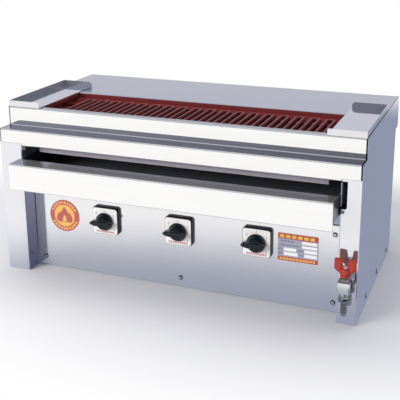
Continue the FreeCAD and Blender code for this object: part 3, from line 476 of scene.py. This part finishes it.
rods_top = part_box("heater_middle")[1].z
dress(baked_coat("heater_red", HEATER_COLOUR, HEATER_SCORCHED, 0.55, rods_top), *heaters)
dress(baked_coat("reflector_red", PLATE_COAT, COAT_COLOUR, 0.60), "reflector_plate")
dress(baked_coat("support_coat", COAT_COLOUR, HEATER_COLOUR, 0.60), "heater_supports")

# Fire box.
# Four walls of thin stainless sheet round the heaters, hung under the deck, dull outside and coated
# like the plate inside.
FIRE_BOX_COLOUR = (0.74, 0.71, 0.82, 1)
dress(
    sheet_steel("fire_box_steel", FIRE_BOX_COLOUR, 0.12, LINES_ALONG_X, 0.0003, polish=0.35),
    "fire_box",
)

# Heater bushings and terminals.
# A white ceramic bushing round each heater end where it leaves the fire box, and on the end a
# threaded steel stud with its nut.
BUSHING_COLOUR = (0.78, 0.76, 0.70, 1)
STUD_COLOUR = (0.62, 0.60, 0.56, 1)


def even_finish(name, colour, roughness, metallic=0.0, specular=0.5):
    """Plastic, ceramic, wire or plated metal: one colour with faint patches and a fine grain."""
    material, even = surface_finish(name)
    point = even.add("TexCoord", {}, {}, "Object")
    clouds = even.noise(point, (60, 60, 60), 3.0)
    grain = even.noise(point, (1800, 1800, 1800), 1.0)
    even.feed(
        even.shader,
        {
            "Base Color": even.mix(clouds, darker(colour, 0.86), colour),
            "Metallic": metallic,
            "Roughness": roughness + (clouds - 0.5) * 0.1,
            "Specular IOR Level": specular,
            "Normal": even.add("Bump", {}, {"Strength": 0.15, "Distance": 0.0001, "Height": grain}),
        },
    )
    return material


dress(even_finish("bushing_white", BUSHING_COLOUR, 0.35), "heater_bushings")
dress(even_finish("stud_steel", STUD_COLOUR, 0.25, metallic=1.0), "heater_terminals")

# Drawer.
# A welded pan of 1 mm sheet behind a polished folded front. It slides on two rails, over a fixed
# tray of the same thin sheet that leads to the drain.
DRAWER_COLOUR = (0.26, 0.28, 0.35, 1)
RAIL_COLOUR = (0.50, 0.54, 0.70, 1)
# The pan's and the front's faces that look to the sides are painted darker as shade.
drawer_steel = sheet_steel(
    "drawer_steel", DRAWER_COLOUR, 0.28, LINES_ALONG_X, 0.0008, polish=0.4, shade_by_facing=(0.75, 0, 0)
)
drawer_mirror = sheet_steel(
    "drawer_mirror", MIRROR_COLOUR, 0.04, LINES_ALONG_X, 0.0001, polish=0.88, shade_by_facing=(0.6, 0, 0)
)
rail_steel = sheet_steel("rail_steel", RAIL_COLOUR, 0.24, LINES_ALONG_X, 0.0004, polish=0.3)
dress(drawer_steel, "drawer_pan")
dress(drawer_mirror, "drawer_front")
dress(rail_steel, "drawer_rail_left", "drawer_rail_right", "drain_tray")

# Drain pipe and valve.
# Copper pipe behind the leg, then a chromed brass angle valve with a red die-cast handle and a
# ribbed nipple for the hose.
CHROME_COLOUR = (0.80, 0.81, 0.83, 1)
# darker copy of the chrome, painted dark as the dark reflections in the outlet hexagon, packing nut
# and nipple
SHADED_CHROME_COLOUR = (0.34, 0.35, 0.37, 1)
HANDLE_COLOUR = (0.43, 0.032, 0.017, 1)
COPPER_COLOUR = (0.66, 0.34, 0.20, 1)
BRASS_COLOUR = (0.72, 0.55, 0.28, 1)
MM = 0.001
UP = (0, 0, 1)
DOWN = (0, 0, -1)
FORWARD = (0, -1, 0)
BLOCK_HALF = 9.9 * MM  # the middle of the valve's body is a square block
BLOCK_TALL = 19.6 * MM
valve_low, valve_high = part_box("valve_body")
bonnet_low, bonnet_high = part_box("valve_bonnet")
handle_low, handle_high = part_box("valve_handle")
barb_low, barb_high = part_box("hose_barb")
valve_x = (bonnet_low.x + bonnet_high.x) / 2
valve_y = (bonnet_low.y + bonnet_high.y) / 2


def turned(shape, centre, axis, profile, steps=48):
    """Turns a profile of (radius, way along the axis) pairs round an axis."""
    axis = Vector(axis)
    side = axis.orthogonal().normalized()
    points = [shape.verts.new(Vector(centre) + side * r + axis * t) for r, t in profile]
    lines = [shape.edges.new(pair) for pair in zip(points, points[1:])]
    bmesh.ops.spin(
        shape, geom=points + lines, cent=centre, axis=axis, angle=2 * pi, steps=steps,
        use_merge=True,
    )


def slab(shape, outline, near, far, edge):
    """Upright slab: an outline in X and Z, from near to far in Y, with rounded edges."""
    front = shape.faces.new([shape.verts.new((x, near, z)) for x, z in outline])
    pulled = bmesh.ops.extrude_face_region(shape, geom=[front])["geom"]
    back = next(part for part in pulled if isinstance(part, bmesh.types.BMFace))
    bmesh.ops.translate(shape, vec=(0, far - near, 0), verts=list(back.verts))
    walls = {face for edge in front.edges for face in edge.link_faces}
    bmesh.ops.recalc_face_normals(shape, faces=list(walls | {back}))
    edges = {edge for face in (front, back) for edge in face.edges}
    bmesh.ops.bevel(
        shape, geom=list(edges), offset=edge, segments=3, profile=0.5, affect="EDGES", material=-1
    )


def hexagon(shape, centre, axis, across, length, edge):
    """Hexagonal nut from a point along an axis, with eased edges."""
    corner = across / 2 / cos(pi / 6)
    made = bmesh.ops.create_cone(
        shape, cap_ends=True, segments=6, radius1=corner, radius2=corner, depth=length
    )["verts"]
    edges = {e for v in made for e in v.link_edges}
    turn = Vector((0, 0, 1)).rotation_difference(Vector(axis)).to_matrix()
    bmesh.ops.rotate(shape, cent=(0, 0, 0), matrix=turn, verts=made)
    bmesh.ops.translate(shape, vec=Vector(centre) + Vector(axis) * length / 2, verts=made)
    bmesh.ops.bevel(
        shape, geom=list(edges), offset=edge, segments=2, profile=0.5, affect="EDGES", material=-1
    )


def finished(name, shape, material, body, slot, *replaced):
    """Makes the piece of a shape, smooth but for its sharp edges, and hands it to its body."""
    bmesh.ops.remove_doubles(shape, verts=shape.verts, dist=1e-6)
    bmesh.ops.recalc_face_normals(shape, faces=shape.faces)
    piece = bpy.data.objects.new(name, bpy.data.meshes.new(name))
    shape.to_mesh(piece.data)
    shape.free()
    piece.data.materials.append(material)
    piece.data.shade_smooth()
    piece.data.set_sharp_from_angle(angle=radians(32))
    bpy.context.scene.collection.objects.link(piece)
    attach(piece, body)
    if replaced:
        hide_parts(*replaced)
    return piece


def scaled(profile):
    """A profile written in millimetres, in metres."""
    return [(r * MM, t * MM) for r, t in profile]


chrome = even_finish("valve_chrome", CHROME_COLOUR, 0.12, metallic=1.0)
block_low = valve_high.z - BLOCK_TALL
union = (valve_x, valve_high.y, (block_low + valve_high.z) / 2)
outlet = (valve_x, valve_y, valve_low.z)
nut_foot = (valve_x, valve_y, bonnet_low.z)
handle_foot = (valve_x, valve_y, handle_low.z)

shape = bmesh.new()
block = [
    (valve_x - BLOCK_HALF, block_low), (valve_x + BLOCK_HALF, block_low),
    (valve_x + BLOCK_HALF, valve_high.z), (valve_x - BLOCK_HALF, valve_high.z),
]
slab(shape, block, valve_y - BLOCK_HALF, valve_y + BLOCK_HALF, edge=1.3 * MM)
hexagon(shape, union, FORWARD, across=19 * MM, length=6.5 * MM, edge=0.7 * MM)
turned(shape, union, FORWARD, scaled([(8.0, 5.0), (8.0, 9.0)]))
collar = [
    (7.4, 9.0), (7.4, 11.0), (6.9, 11.4), (6.9, 12.0),
    (7.6, 12.4), (7.6, 13.4), (7.0, 13.8), (7.0, 15.0),
]
turned(shape, outlet, UP, scaled(collar))
finished("valve_casting", shape, chrome, "casing", "valve_chrome", "valve_body")

# The outlet hexagon, packing nut and nipple are chrome, painted darker as their dark reflections.
shaded_chrome = even_finish("shaded_chrome", SHADED_CHROME_COLOUR, 0.07, metallic=1.0)
shape = bmesh.new()
hexagon(shape, outlet, UP, across=17 * MM, length=10 * MM, edge=0.8 * MM)
finished("outlet_hexagon", shape, shaded_chrome, "casing", "valve_chrome", "valve_body")

shape = bmesh.new()
hexagon(shape, nut_foot, UP, across=14.6 * MM, length=3.6 * MM, edge=0.6 * MM)
gland = [(7.2, 3.4), (7.2, 4.6), (6.6, 5.0), (6.6, 5.9), (6.0, 6.4), (3.1, 6.4)]
turned(shape, nut_foot, UP, scaled(gland))
finished("packing_nut", shape, shaded_chrome, "casing", "valve_chrome", "valve_bonnet")

RIBS = 6
RIB = [(4.5, 0.32), (5.5, 0.54), (5.6, 0.66), (4.7, 1.02)]  # radius in mm and way in pitches
NIPPLE_BORE = 3.2 * MM
BORE_DEEP = 8 * MM
nipple_length = barb_high.z - barb_low.z
pitch = nipple_length / (RIBS + 1)
shape = bmesh.new()
nipple = [(4.6 * MM, 0.0)]
for rib in range(RIBS):
    nipple += [(radius * MM, pitch * (rib + way)) for radius, way in RIB]
nipple += [(4.5 * MM, nipple_length - 0.6 * MM), (4.0 * MM, nipple_length)]
nipple += [(NIPPLE_BORE, nipple_length), (NIPPLE_BORE, nipple_length - BORE_DEEP)]
nipple += [(0.0, nipple_length - BORE_DEEP)]
turned(shape, (valve_x, valve_y, barb_high.z), DOWN, nipple)
finished("hose_nipple", shape, shaded_chrome, "casing", "barb_chrome", "hose_barb")

WING_HALF = 2.0 * MM
RIDGE_HALF = 2.9 * MM
shape = bmesh.new()
wing = [
    (7.2, 3.0), (9.4, 6.6), (13.8, 9.6), (17.2, 13.0), (17.2, 28.4),
    (15.6, 30.0), (5.6, 29.6), (4.4, 24.0), (3.6, 18.4), (2.0, 16.0),
]
outline = [(valve_x + x * MM, handle_low.z + z * MM) for x, z in wing]
outline += [(valve_x - x * MM, handle_low.z + z * MM) for x, z in wing[::-1]]
slab(shape, outline, valve_y - WING_HALF, valve_y + WING_HALF, edge=1.1 * MM)
hub = [
    (3.2, 0.0), (7.2, 0.0), (7.7, 0.5), (7.7, 3.4), (7.2, 3.9), (7.2, 5.0), (7.5, 5.4), (7.6, 12.6),
    (7.0, 13.8), (5.6, 14.6), (3.6, 15.2), (0.0, 15.2),
]
turned(shape, handle_foot, UP, scaled(hub))
ridge = [(6.6, 5.0), (15.4, 14.0), (15.4, 26.4), (8.2, 27.2), (6.4, 17.0)]
for side in (-1, 1):
    outline = [(valve_x + side * x * MM, handle_low.z + z * MM) for x, z in ridge]
    slab(shape, outline, valve_y - RIDGE_HALF, valve_y + RIDGE_HALF, edge=1.0 * MM)
handle_paint = even_finish("handle_red", HANDLE_COLOUR, 0.26)
finished("handle_casting", shape, handle_paint, "drain_handle", "handle_red", "valve_handle")

shape = bmesh.new()
cap = [(3.4, 14.9), (3.4, 16.6), (2.9, 17.4), (1.6, 17.9), (0.0, 18.0)]
turned(shape, handle_foot, UP, scaled(cap), steps=24)
finished("handle_nut", shape, chrome, "drain_handle", "valve_chrome")

dress(even_finish("pipe_copper", COPPER_COLOUR, 0.30, metallic=1.0), "drain_pipe")
dress(chrome, "drain_lock_nut")
dress(even_finish("stem_brass", BRASS_COLOUR, 0.22, metallic=1.0), "valve_stem")

# Rotary switches.
# Black moulded frame and white printed card on the panel, with a glossy black knob on a steel
# shaft and a contact block behind.
SWITCHES = ("left", "middle", "right")
FRAME_COLOUR = (0.008, 0.013, 0.017, 1)
CARD_COLOUR = (0.93, 0.915, 0.89, 1)
KNOB_COLOUR = (0.006, 0.010, 0.014, 1)
PRINT_GREY = (0.08, 0.09, 0.11, 1)
PRINT_RED = (0.50, 0.13, 0.14, 1)
SHAFT_COLOUR = (0.60, 0.60, 0.62, 1)
BLOCK_COLOUR = (0.035, 0.035, 0.038, 1)
NUMERALS = (("0", -17, 13.5), ("1", 0, 19.5), ("2", 17.5, 11.5), ("3", 17.5, -14.5))
NUMERAL_SIZE = 6.0 * MM
PRINT_HALF = 0.05 * MM  # half thickness of what is printed on the card
MARKS = 9  # red marks in a row under the knob
MARK_PITCH = 4.0 * MM
MARK_WIDE = 2.6 * MM
MARK_LOW = 21.6 * MM  # below the middle of the card
MARK_HIGH = 18.0 * MM
CORNER_STEPS = 6
CARD_TRIM = 1.2 * MM  # the card is this much smaller than its solid
GRIP_INSET = 2.0 * MM  # the grip stops this far inside both ends of the knob
frame_black = even_finish("frame_black", FRAME_COLOUR, 0.24, specular=0.10)
knob_black = even_finish("knob_black", KNOB_COLOUR, 0.10, specular=0.35)
card_white = even_finish("card_white", CARD_COLOUR, 0.30)
print_grey = even_finish("print_grey", PRINT_GREY, 0.45)
print_red = even_finish("print_red", PRINT_RED, 0.45)


def rounded(x, z, size, radius):
    """Outline of a square with round corners about a middle point."""
    flat_half = size / 2 - radius
    points = []
    for corner, (sx, sz) in enumerate(((1, 1), (-1, 1), (-1, -1), (1, -1))):
        for i in range(CORNER_STEPS + 1):
            angle = (corner + i / CORNER_STEPS) * pi / 2
            points.append((
                x + sx * flat_half + radius * cos(angle),
                z + sz * flat_half + radius * sin(angle),
            ))
    return points


def printed(shape, text, x, y, z, size):
    """Adds a numeral that faces the front, with its middle at the point."""
    curve = bpy.data.curves.new("numeral", "FONT")
    curve.body = text
    curve.size = size
    curve.align_x = "CENTER"
    curve.align_y = "CENTER"
    curve.extrude = PRINT_HALF
    holder = bpy.data.objects.new("numeral", curve)
    bpy.context.scene.collection.objects.link(holder)
    bpy.context.view_layer.update()
    graph = bpy.context.evaluated_depsgraph_get()
    flat = bpy.data.meshes.new_from_object(holder.evaluated_get(graph))
    flat.transform(Matrix.Translation((x, y, z)) @ Matrix.Rotation(pi / 2, 4, "X"))
    shape.from_mesh(flat)
    bpy.data.objects.remove(holder)
    bpy.data.curves.remove(curve)
    bpy.data.meshes.remove(flat)


for side in SWITCHES:
    frame_low, frame_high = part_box("switch_frame_" + side)
    card_low, card_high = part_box("switch_dial_" + side)
    knob_low, knob_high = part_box("switch_knob_" + side)
    x = (frame_low.x + frame_high.x) / 2
    z = (frame_low.z + frame_high.z) / 2
    size = frame_high.x - frame_low.x
    shape = bmesh.new()
    slab(shape, rounded(x, z, size, radius=5.5 * MM), frame_low.y, frame_high.y, edge=1.0 * MM)
    finished("frame_" + side, shape, frame_black, "casing", "frame_black", "switch_frame_" + side)

    size = card_high.x - card_low.x - CARD_TRIM
    shape = bmesh.new()
    slab(shape, rounded(x, z, size, radius=4.6 * MM), card_low.y, card_high.y, edge=0.35 * MM)
    finished("card_" + side, shape, card_white, "casing", "card_white", "switch_dial_" + side)

    shape = bmesh.new()
    for text, across, up in NUMERALS:
        printed(shape, text, x + across * MM, card_low.y, z + up * MM, NUMERAL_SIZE)
    finished("numerals_" + side, shape, print_grey, "casing", "card_white")

    low = z - MARK_LOW
    high = z - MARK_HIGH
    shape = bmesh.new()
    for i in range(MARKS):
        left = x + (i - MARKS // 2) * MARK_PITCH - MARK_WIDE / 2
        right = left + MARK_WIDE
        mark = [(left, low), (right, low), (right, high), (left, high)]
        slab(shape, mark, card_low.y - PRINT_HALF, card_low.y + PRINT_HALF, edge=0.02 * MM)
    finished("rule_" + side, shape, print_red, "casing", "card_white")

    shape = bmesh.new()
    skirt = [
        (3.2, 0.0), (15.6, 0.0), (16.2, 0.5), (16.2, 3.6), (15.6, 4.3), (14.2, 4.7), (13.6, 6.0),
        (12.9, 8.6), (12.0, 11.0), (10.4, 12.8), (7.8, 14.0), (4.2, 14.6), (0.0, 14.8),
    ]
    turned(shape, (x, knob_high.y, z), FORWARD, scaled(skirt), steps=64)
    grip = [
        (-22.0, 1.2), (-19.0, 3.0), (-12.4, 4.6), (11.4, 4.6), (16.6, 2.2), (18.6, 0.0),
        (16.6, -2.2), (11.4, -4.6), (-12.4, -4.6), (-19.0, -3.0), (-22.0, -1.2),
    ]
    outline = [(x + u * MM, z + v * MM) for u, v in grip]
    slab(shape, outline, knob_low.y + GRIP_INSET, knob_high.y - GRIP_INSET, edge=1.3 * MM)
    finished("knob_" + side, shape, knob_black, "knob_" + side, "knob_black", "switch_knob_" + side)

shaft_steel = even_finish("shaft_steel", SHAFT_COLOUR, 0.22, metallic=1.0)
block_plastic = even_finish("block_plastic", BLOCK_COLOUR, 0.45)
for side in SWITCHES:
    dress(shaft_steel, "switch_shaft_" + side)
    dress(block_plastic, "switch_block_" + side)

# Round badge.
# Thin printed disc, stuck to the control panel: a red ring with plain dashes round a yellow field
# with a red flame.
BADGE_RED = (0.44, 0.032, 0.036, 1)
BADGE_YELLOW = (0.80, 0.43, 0.04, 1)
DASHES = 26  # round a full turn; none are printed at the sides
DASH_IN, DASH_OUT = 0.76, 0.92  # this and what follows is in shares of the badge's radius
RING_IN = 0.69
RIM_IN = 0.96
badge_low, badge_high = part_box("badge_disc")
badge_x = (badge_low.x + badge_high.x) / 2
badge_z = (badge_low.z + badge_high.z) / 2
badge_radius = (badge_high.x - badge_low.x) / 2
material, badge = surface_finish("badge_print")
point = badge.add("TexCoord", {}, {}, "Object")
x, _, z = badge.parts_of(point)
u = (x - badge_x) / badge_radius
v = (z - badge_z) / badge_radius
radius = badge.maths("SQRT", u * u + v * v)
angle = badge.maths("ARCTAN2", v, u)
dashes = (badge.maths("SINE", angle * DASHES) > -0.25) * (abs(v) > 0.3)
dashes = dashes * (radius > DASH_IN) * (radius < DASH_OUT)
ring = radius > RING_IN
rim = radius > RIM_IN


def tongue(across, foot, tall, wide):
    """1 inside a flame's tongue: round at the foot, pointed at the top."""
    t = (v - foot) / tall
    inside = (t > 0.0) * (t < 1.0)
    half = wide * badge.maths("SQRT", badge.maths("MAXIMUM", t, 0.0)) * (1.0 - t)
    return inside * (abs(u - across) < half)


flame = tongue(0.0, -0.42, 1.0, 0.80)
for across in (-0.33, 0.33):
    flame = badge.maths("MAXIMUM", flame, tongue(across, -0.42, 0.66, 0.56))
core = tongue(0.0, -0.40, 0.46, 0.34)
red = badge.maths("MAXIMUM", ring * (1 - dashes), flame * (1 - core))
print_noise = badge.noise(point, (900, 900, 900), 2.0)
colour = badge.mix(badge.maths("MAXIMUM", red, rim), BADGE_YELLOW, BADGE_RED)
badge.feed(
    badge.shader,
    {
        "Base Color": badge.mix(print_noise * 0.12, colour, WHITE),
        "Roughness": 0.26 + (print_noise - 0.5) * 0.1,
        "Coat Weight": 0.3,
    },
)
dress(material, "badge_disc")

# Rating plate.
# Thin printed plate, stuck to the control panel: red bands with plain yellow blocks above and
# below, and between them a grey field with white boxes and short dark marks.
PLATE_GREY = (0.34, 0.34, 0.43, 1)
PLATE_RED = (0.44, 0.030, 0.036, 1)
PLATE_YELLOW = (0.80, 0.48, 0.045, 1)
PLATE_INK = (0.12, 0.12, 0.20, 1)
PLATE_WHITE = (0.88, 0.88, 0.88, 1)
plate_low, plate_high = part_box("rating_plate")
material, plate = surface_finish("plate_print")
point = plate.add("TexCoord", {}, {}, "Object")
x, _, z = plate.parts_of(point)
u = (x - plate_low.x) / (plate_high.x - plate_low.x)
v = (z - plate_low.z) / (plate_high.z - plate_low.z)


def patch(left, right, low, high):
    """1 inside a rectangle of the plate, in shares of its width and height."""
    return (u > left) * (u < right) * (v > low) * (v < high)


def blocks(left, right, low, high, count, share):
    """1 in a row of equal blocks."""
    step = plate.maths("FRACT", (u - left) / (right - left) * count)
    return patch(left, right, low, high) * (step < share)


bands = plate.maths("MAXIMUM", v > 0.80, v < 0.15)
upper_row = blocks(0.05, 0.95, 0.84, 0.95, 6, 0.72)
lower_row = blocks(0.05, 0.95, 0.035, 0.11, 11, 0.74)
yellow = plate.maths("MAXIMUM", upper_row, lower_row)
boxes = patch(0.60, 0.97, 0.665, 0.775)
for sides_and_heights in (
    (0.60, 0.97, 0.52, 0.62), (0.15, 0.46, 0.36, 0.48), (0.66, 0.97, 0.36, 0.48),
    (0.15, 0.50, 0.20, 0.32), (0.66, 0.97, 0.20, 0.32),
):
    boxes = plate.maths("MAXIMUM", boxes, patch(*sides_and_heights))
inked = blocks(0.08, 0.42, 0.69, 0.75, 4, 0.6)
for row in (
    (0.06, 0.56, 0.54, 0.60, 9), (0.02, 0.13, 0.39, 0.45, 2), (0.50, 0.64, 0.39, 0.45, 3),
    (0.02, 0.13, 0.23, 0.29, 2), (0.54, 0.64, 0.23, 0.29, 2),
):
    inked = plate.maths("MAXIMUM", inked, blocks(*row, 0.6))
grain = plate.noise(point, (900, 900, 900), 2.0)
colour = plate.mix(boxes, PLATE_GREY, PLATE_WHITE)
colour = plate.mix(inked, colour, PLATE_INK)
colour = plate.mix(bands, colour, PLATE_RED)
colour = plate.mix(yellow, colour, PLATE_YELLOW)
plate.feed(
    plate.shader,
    {
        "Base Color": plate.mix(grain * 0.08, colour, WHITE),
        "Roughness": 0.28 + (grain - 0.5) * 0.1,
    },
)
dress(material, "rating_plate")

# Screws.
# Domed stainless screws with a cross recess, drawn up flat against the sheet; the one at the top
# right of the panel has a slot. Recesses and slot are not cut but painted dark as shade, and the
# heads, the panel's most, are painted dark towards the edge of their domes as shade.
SCREW_COLOUR = (0.88, 0.88, 0.90, 1)
# painted shade in the recesses and round the edge of the heads
RECESS_SHADE_COLOUR = (0.03, 0.03, 0.035, 1)
SCREW_RADIUS = 4.2 * MM
SCREW_HEIGHT = 2.6 * MM
EDGE_SHARE = 0.12  # the upright edge of a head, in shares of its height
DOME_STEPS = 8
CROSS_TILT = radians(20)  # the crosses don't stand upright
RECESS = 0.40  # half length of a recess arm, in head radii
RECESS_HALF = 0.10  # half width of an arm
# the heads are painted dark as shade outside these shares of the radius
PANEL_SHADED_RIM = 0.66  # outside this share of the radius the head is dark
SIDE_SHADED_RIM = 0.95
MIDDLE_SCREW_X = 9.0 * MM  # under the middle switch


def screw_finish(name, arms, rim):
    """Head with its recess and rim painted dark as shade, on the head's own map; arms is 1 or 2."""
    material, head = surface_finish(name)
    u, v = head.parts_of(head.add("UVMap", {"uv_map": "head"}, {}))[:2]
    u = u - 0.5
    v = v - 0.5
    if arms == 2:
        level_arm = (abs(u) < RECESS / 2) * (abs(v) < RECESS_HALF / 2)
        upright_arm = (abs(v) < RECESS / 2) * (abs(u) < RECESS_HALF / 2)
        recess_and_rim_shade = head.maths("MAXIMUM", level_arm, upright_arm)
    else:
        recess_and_rim_shade = (abs(v) < RECESS_HALF / 2) * (abs(u) < 0.5)
    # the edge of the dome is painted dark as shade too
    recess_and_rim_shade = head.maths("MAXIMUM", recess_and_rim_shade, u * u + v * v > rim * rim / 4)
    grain = head.noise(head.add("TexCoord", {}, {}, "Object"), (1200, 1200, 1200), 2.0)
    head.feed(
        head.shader,
        {
            "Base Color": head.mix(recess_and_rim_shade, SCREW_COLOUR, RECESS_SHADE_COLOUR),
            "Metallic": 1.0,
            "Roughness": 0.16 + grain * 0.08 + recess_and_rim_shade * 0.3,
        },
    )
    return material


def screw_head(shape, place, out, up):
    """Domed head on a sheet; its map runs from 0 to 1 across the head."""
    out = Vector(out)
    up = Vector(up)
    across = up.cross(out)
    layer = shape.loops.layers.uv.get("head") or shape.loops.layers.uv.new("head")
    before = set(shape.faces)
    dome = [(SCREW_RADIUS, 0.0), (SCREW_RADIUS, EDGE_SHARE * SCREW_HEIGHT)]
    for i in range(1, DOME_STEPS + 1):
        angle = i / DOME_STEPS * pi / 2
        rise = EDGE_SHARE + (1 - EDGE_SHARE) * sin(angle)
        dome.append((SCREW_RADIUS * cos(angle), SCREW_HEIGHT * rise))
    turned(shape, place, out, dome, steps=32)
    for face in set(shape.faces) - before:
        for corner in face.loops:
            way = (corner.vert.co - Vector(place)) / SCREW_RADIUS / 2
            corner[layer].uv = (0.5 + way.dot(across), 0.5 + way.dot(up))


side_low, side_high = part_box("side_screws")
panel_low, panel_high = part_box("panel_screws")
panel_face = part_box("control_panel")[0].y
cross_screw = screw_finish("screw_steel", 2, PANEL_SHADED_RIM)
slot_screw = screw_finish("screw_slotted", 1, PANEL_SHADED_RIM)
side_screw = screw_finish("screw_side", 2, SIDE_SHADED_RIM)
left = panel_low.x + SCREW_RADIUS
right = panel_high.x - SCREW_RADIUS
shape = bmesh.new()
for x in (left, MIDDLE_SCREW_X, right):
    place = (x, panel_face, panel_low.z + SCREW_RADIUS)
    screw_head(shape, place, FORWARD, (sin(CROSS_TILT), 0, cos(CROSS_TILT)))
finished("panel_screw_heads", shape, cross_screw, "casing", "screw_steel", "panel_screws")
shape = bmesh.new()
screw_head(shape, (right, panel_face, panel_high.z - SCREW_RADIUS), FORWARD, UP)
finished("panel_slotted_screw", shape, slot_screw, "casing", "screw_steel", "panel_screws")

shape = bmesh.new()
first = side_low.y + SCREW_RADIUS
last = side_high.y - SCREW_RADIUS
for side in (-1, 1):
    for y in (first, (first + last) / 2, last):
        place = (side * casing_half, y, side_low.z + SCREW_RADIUS)
        screw_head(shape, place, (side, 0, 0), (0, sin(CROSS_TILT), cos(CROSS_TILT)))
finished("side_screw_heads", shape, side_screw, "casing", "screw_steel", "side_screws")
dress(even_finish("rear_screw_steel", SCREW_COLOUR, 0.22, metallic=1.0), "rear_screws")

# Wires, terminals and supply inlet.
# Grey silicone-covered wires, a cream terminal block on the compartment floor, and a black nylon
# gland in the rear panel.
WIRE_COLOUR = (0.28, 0.28, 0.29, 1)
TERMINAL_COLOUR = (0.72, 0.66, 0.50, 1)
CLAMP_COLOUR = (0.64, 0.62, 0.56, 1)
GLAND_COLOUR = (0.022, 0.022, 0.024, 1)
dress(even_finish("wire_grey", WIRE_COLOUR, 0.5), "heater_loom", "switch_wiring")
dress(even_finish("terminal_cream", TERMINAL_COLOUR, 0.42), "terminal_block")
dress(even_finish("terminal_screw_steel", CLAMP_COLOUR, 0.24, metallic=1.0), "block_screws")
dress(even_finish("gland_black", GLAND_COLOUR, 0.40), "cable_gland", "gland_nut")

# Loose end trays.
# Polished plates that lie on the deck beside the fire bed, with a rim on three sides and on the
# fourth a tongue that hangs into the bed and has its red coat.
TRAY_COLOUR = (0.81, 0.81, 0.83, 1)
tray_steel = sheet_steel("tray_steel", TRAY_COLOUR, 0.035, LINES_ALONG_X, 0.0001)
dress(tray_steel, "end_tray_left", "end_tray_right")
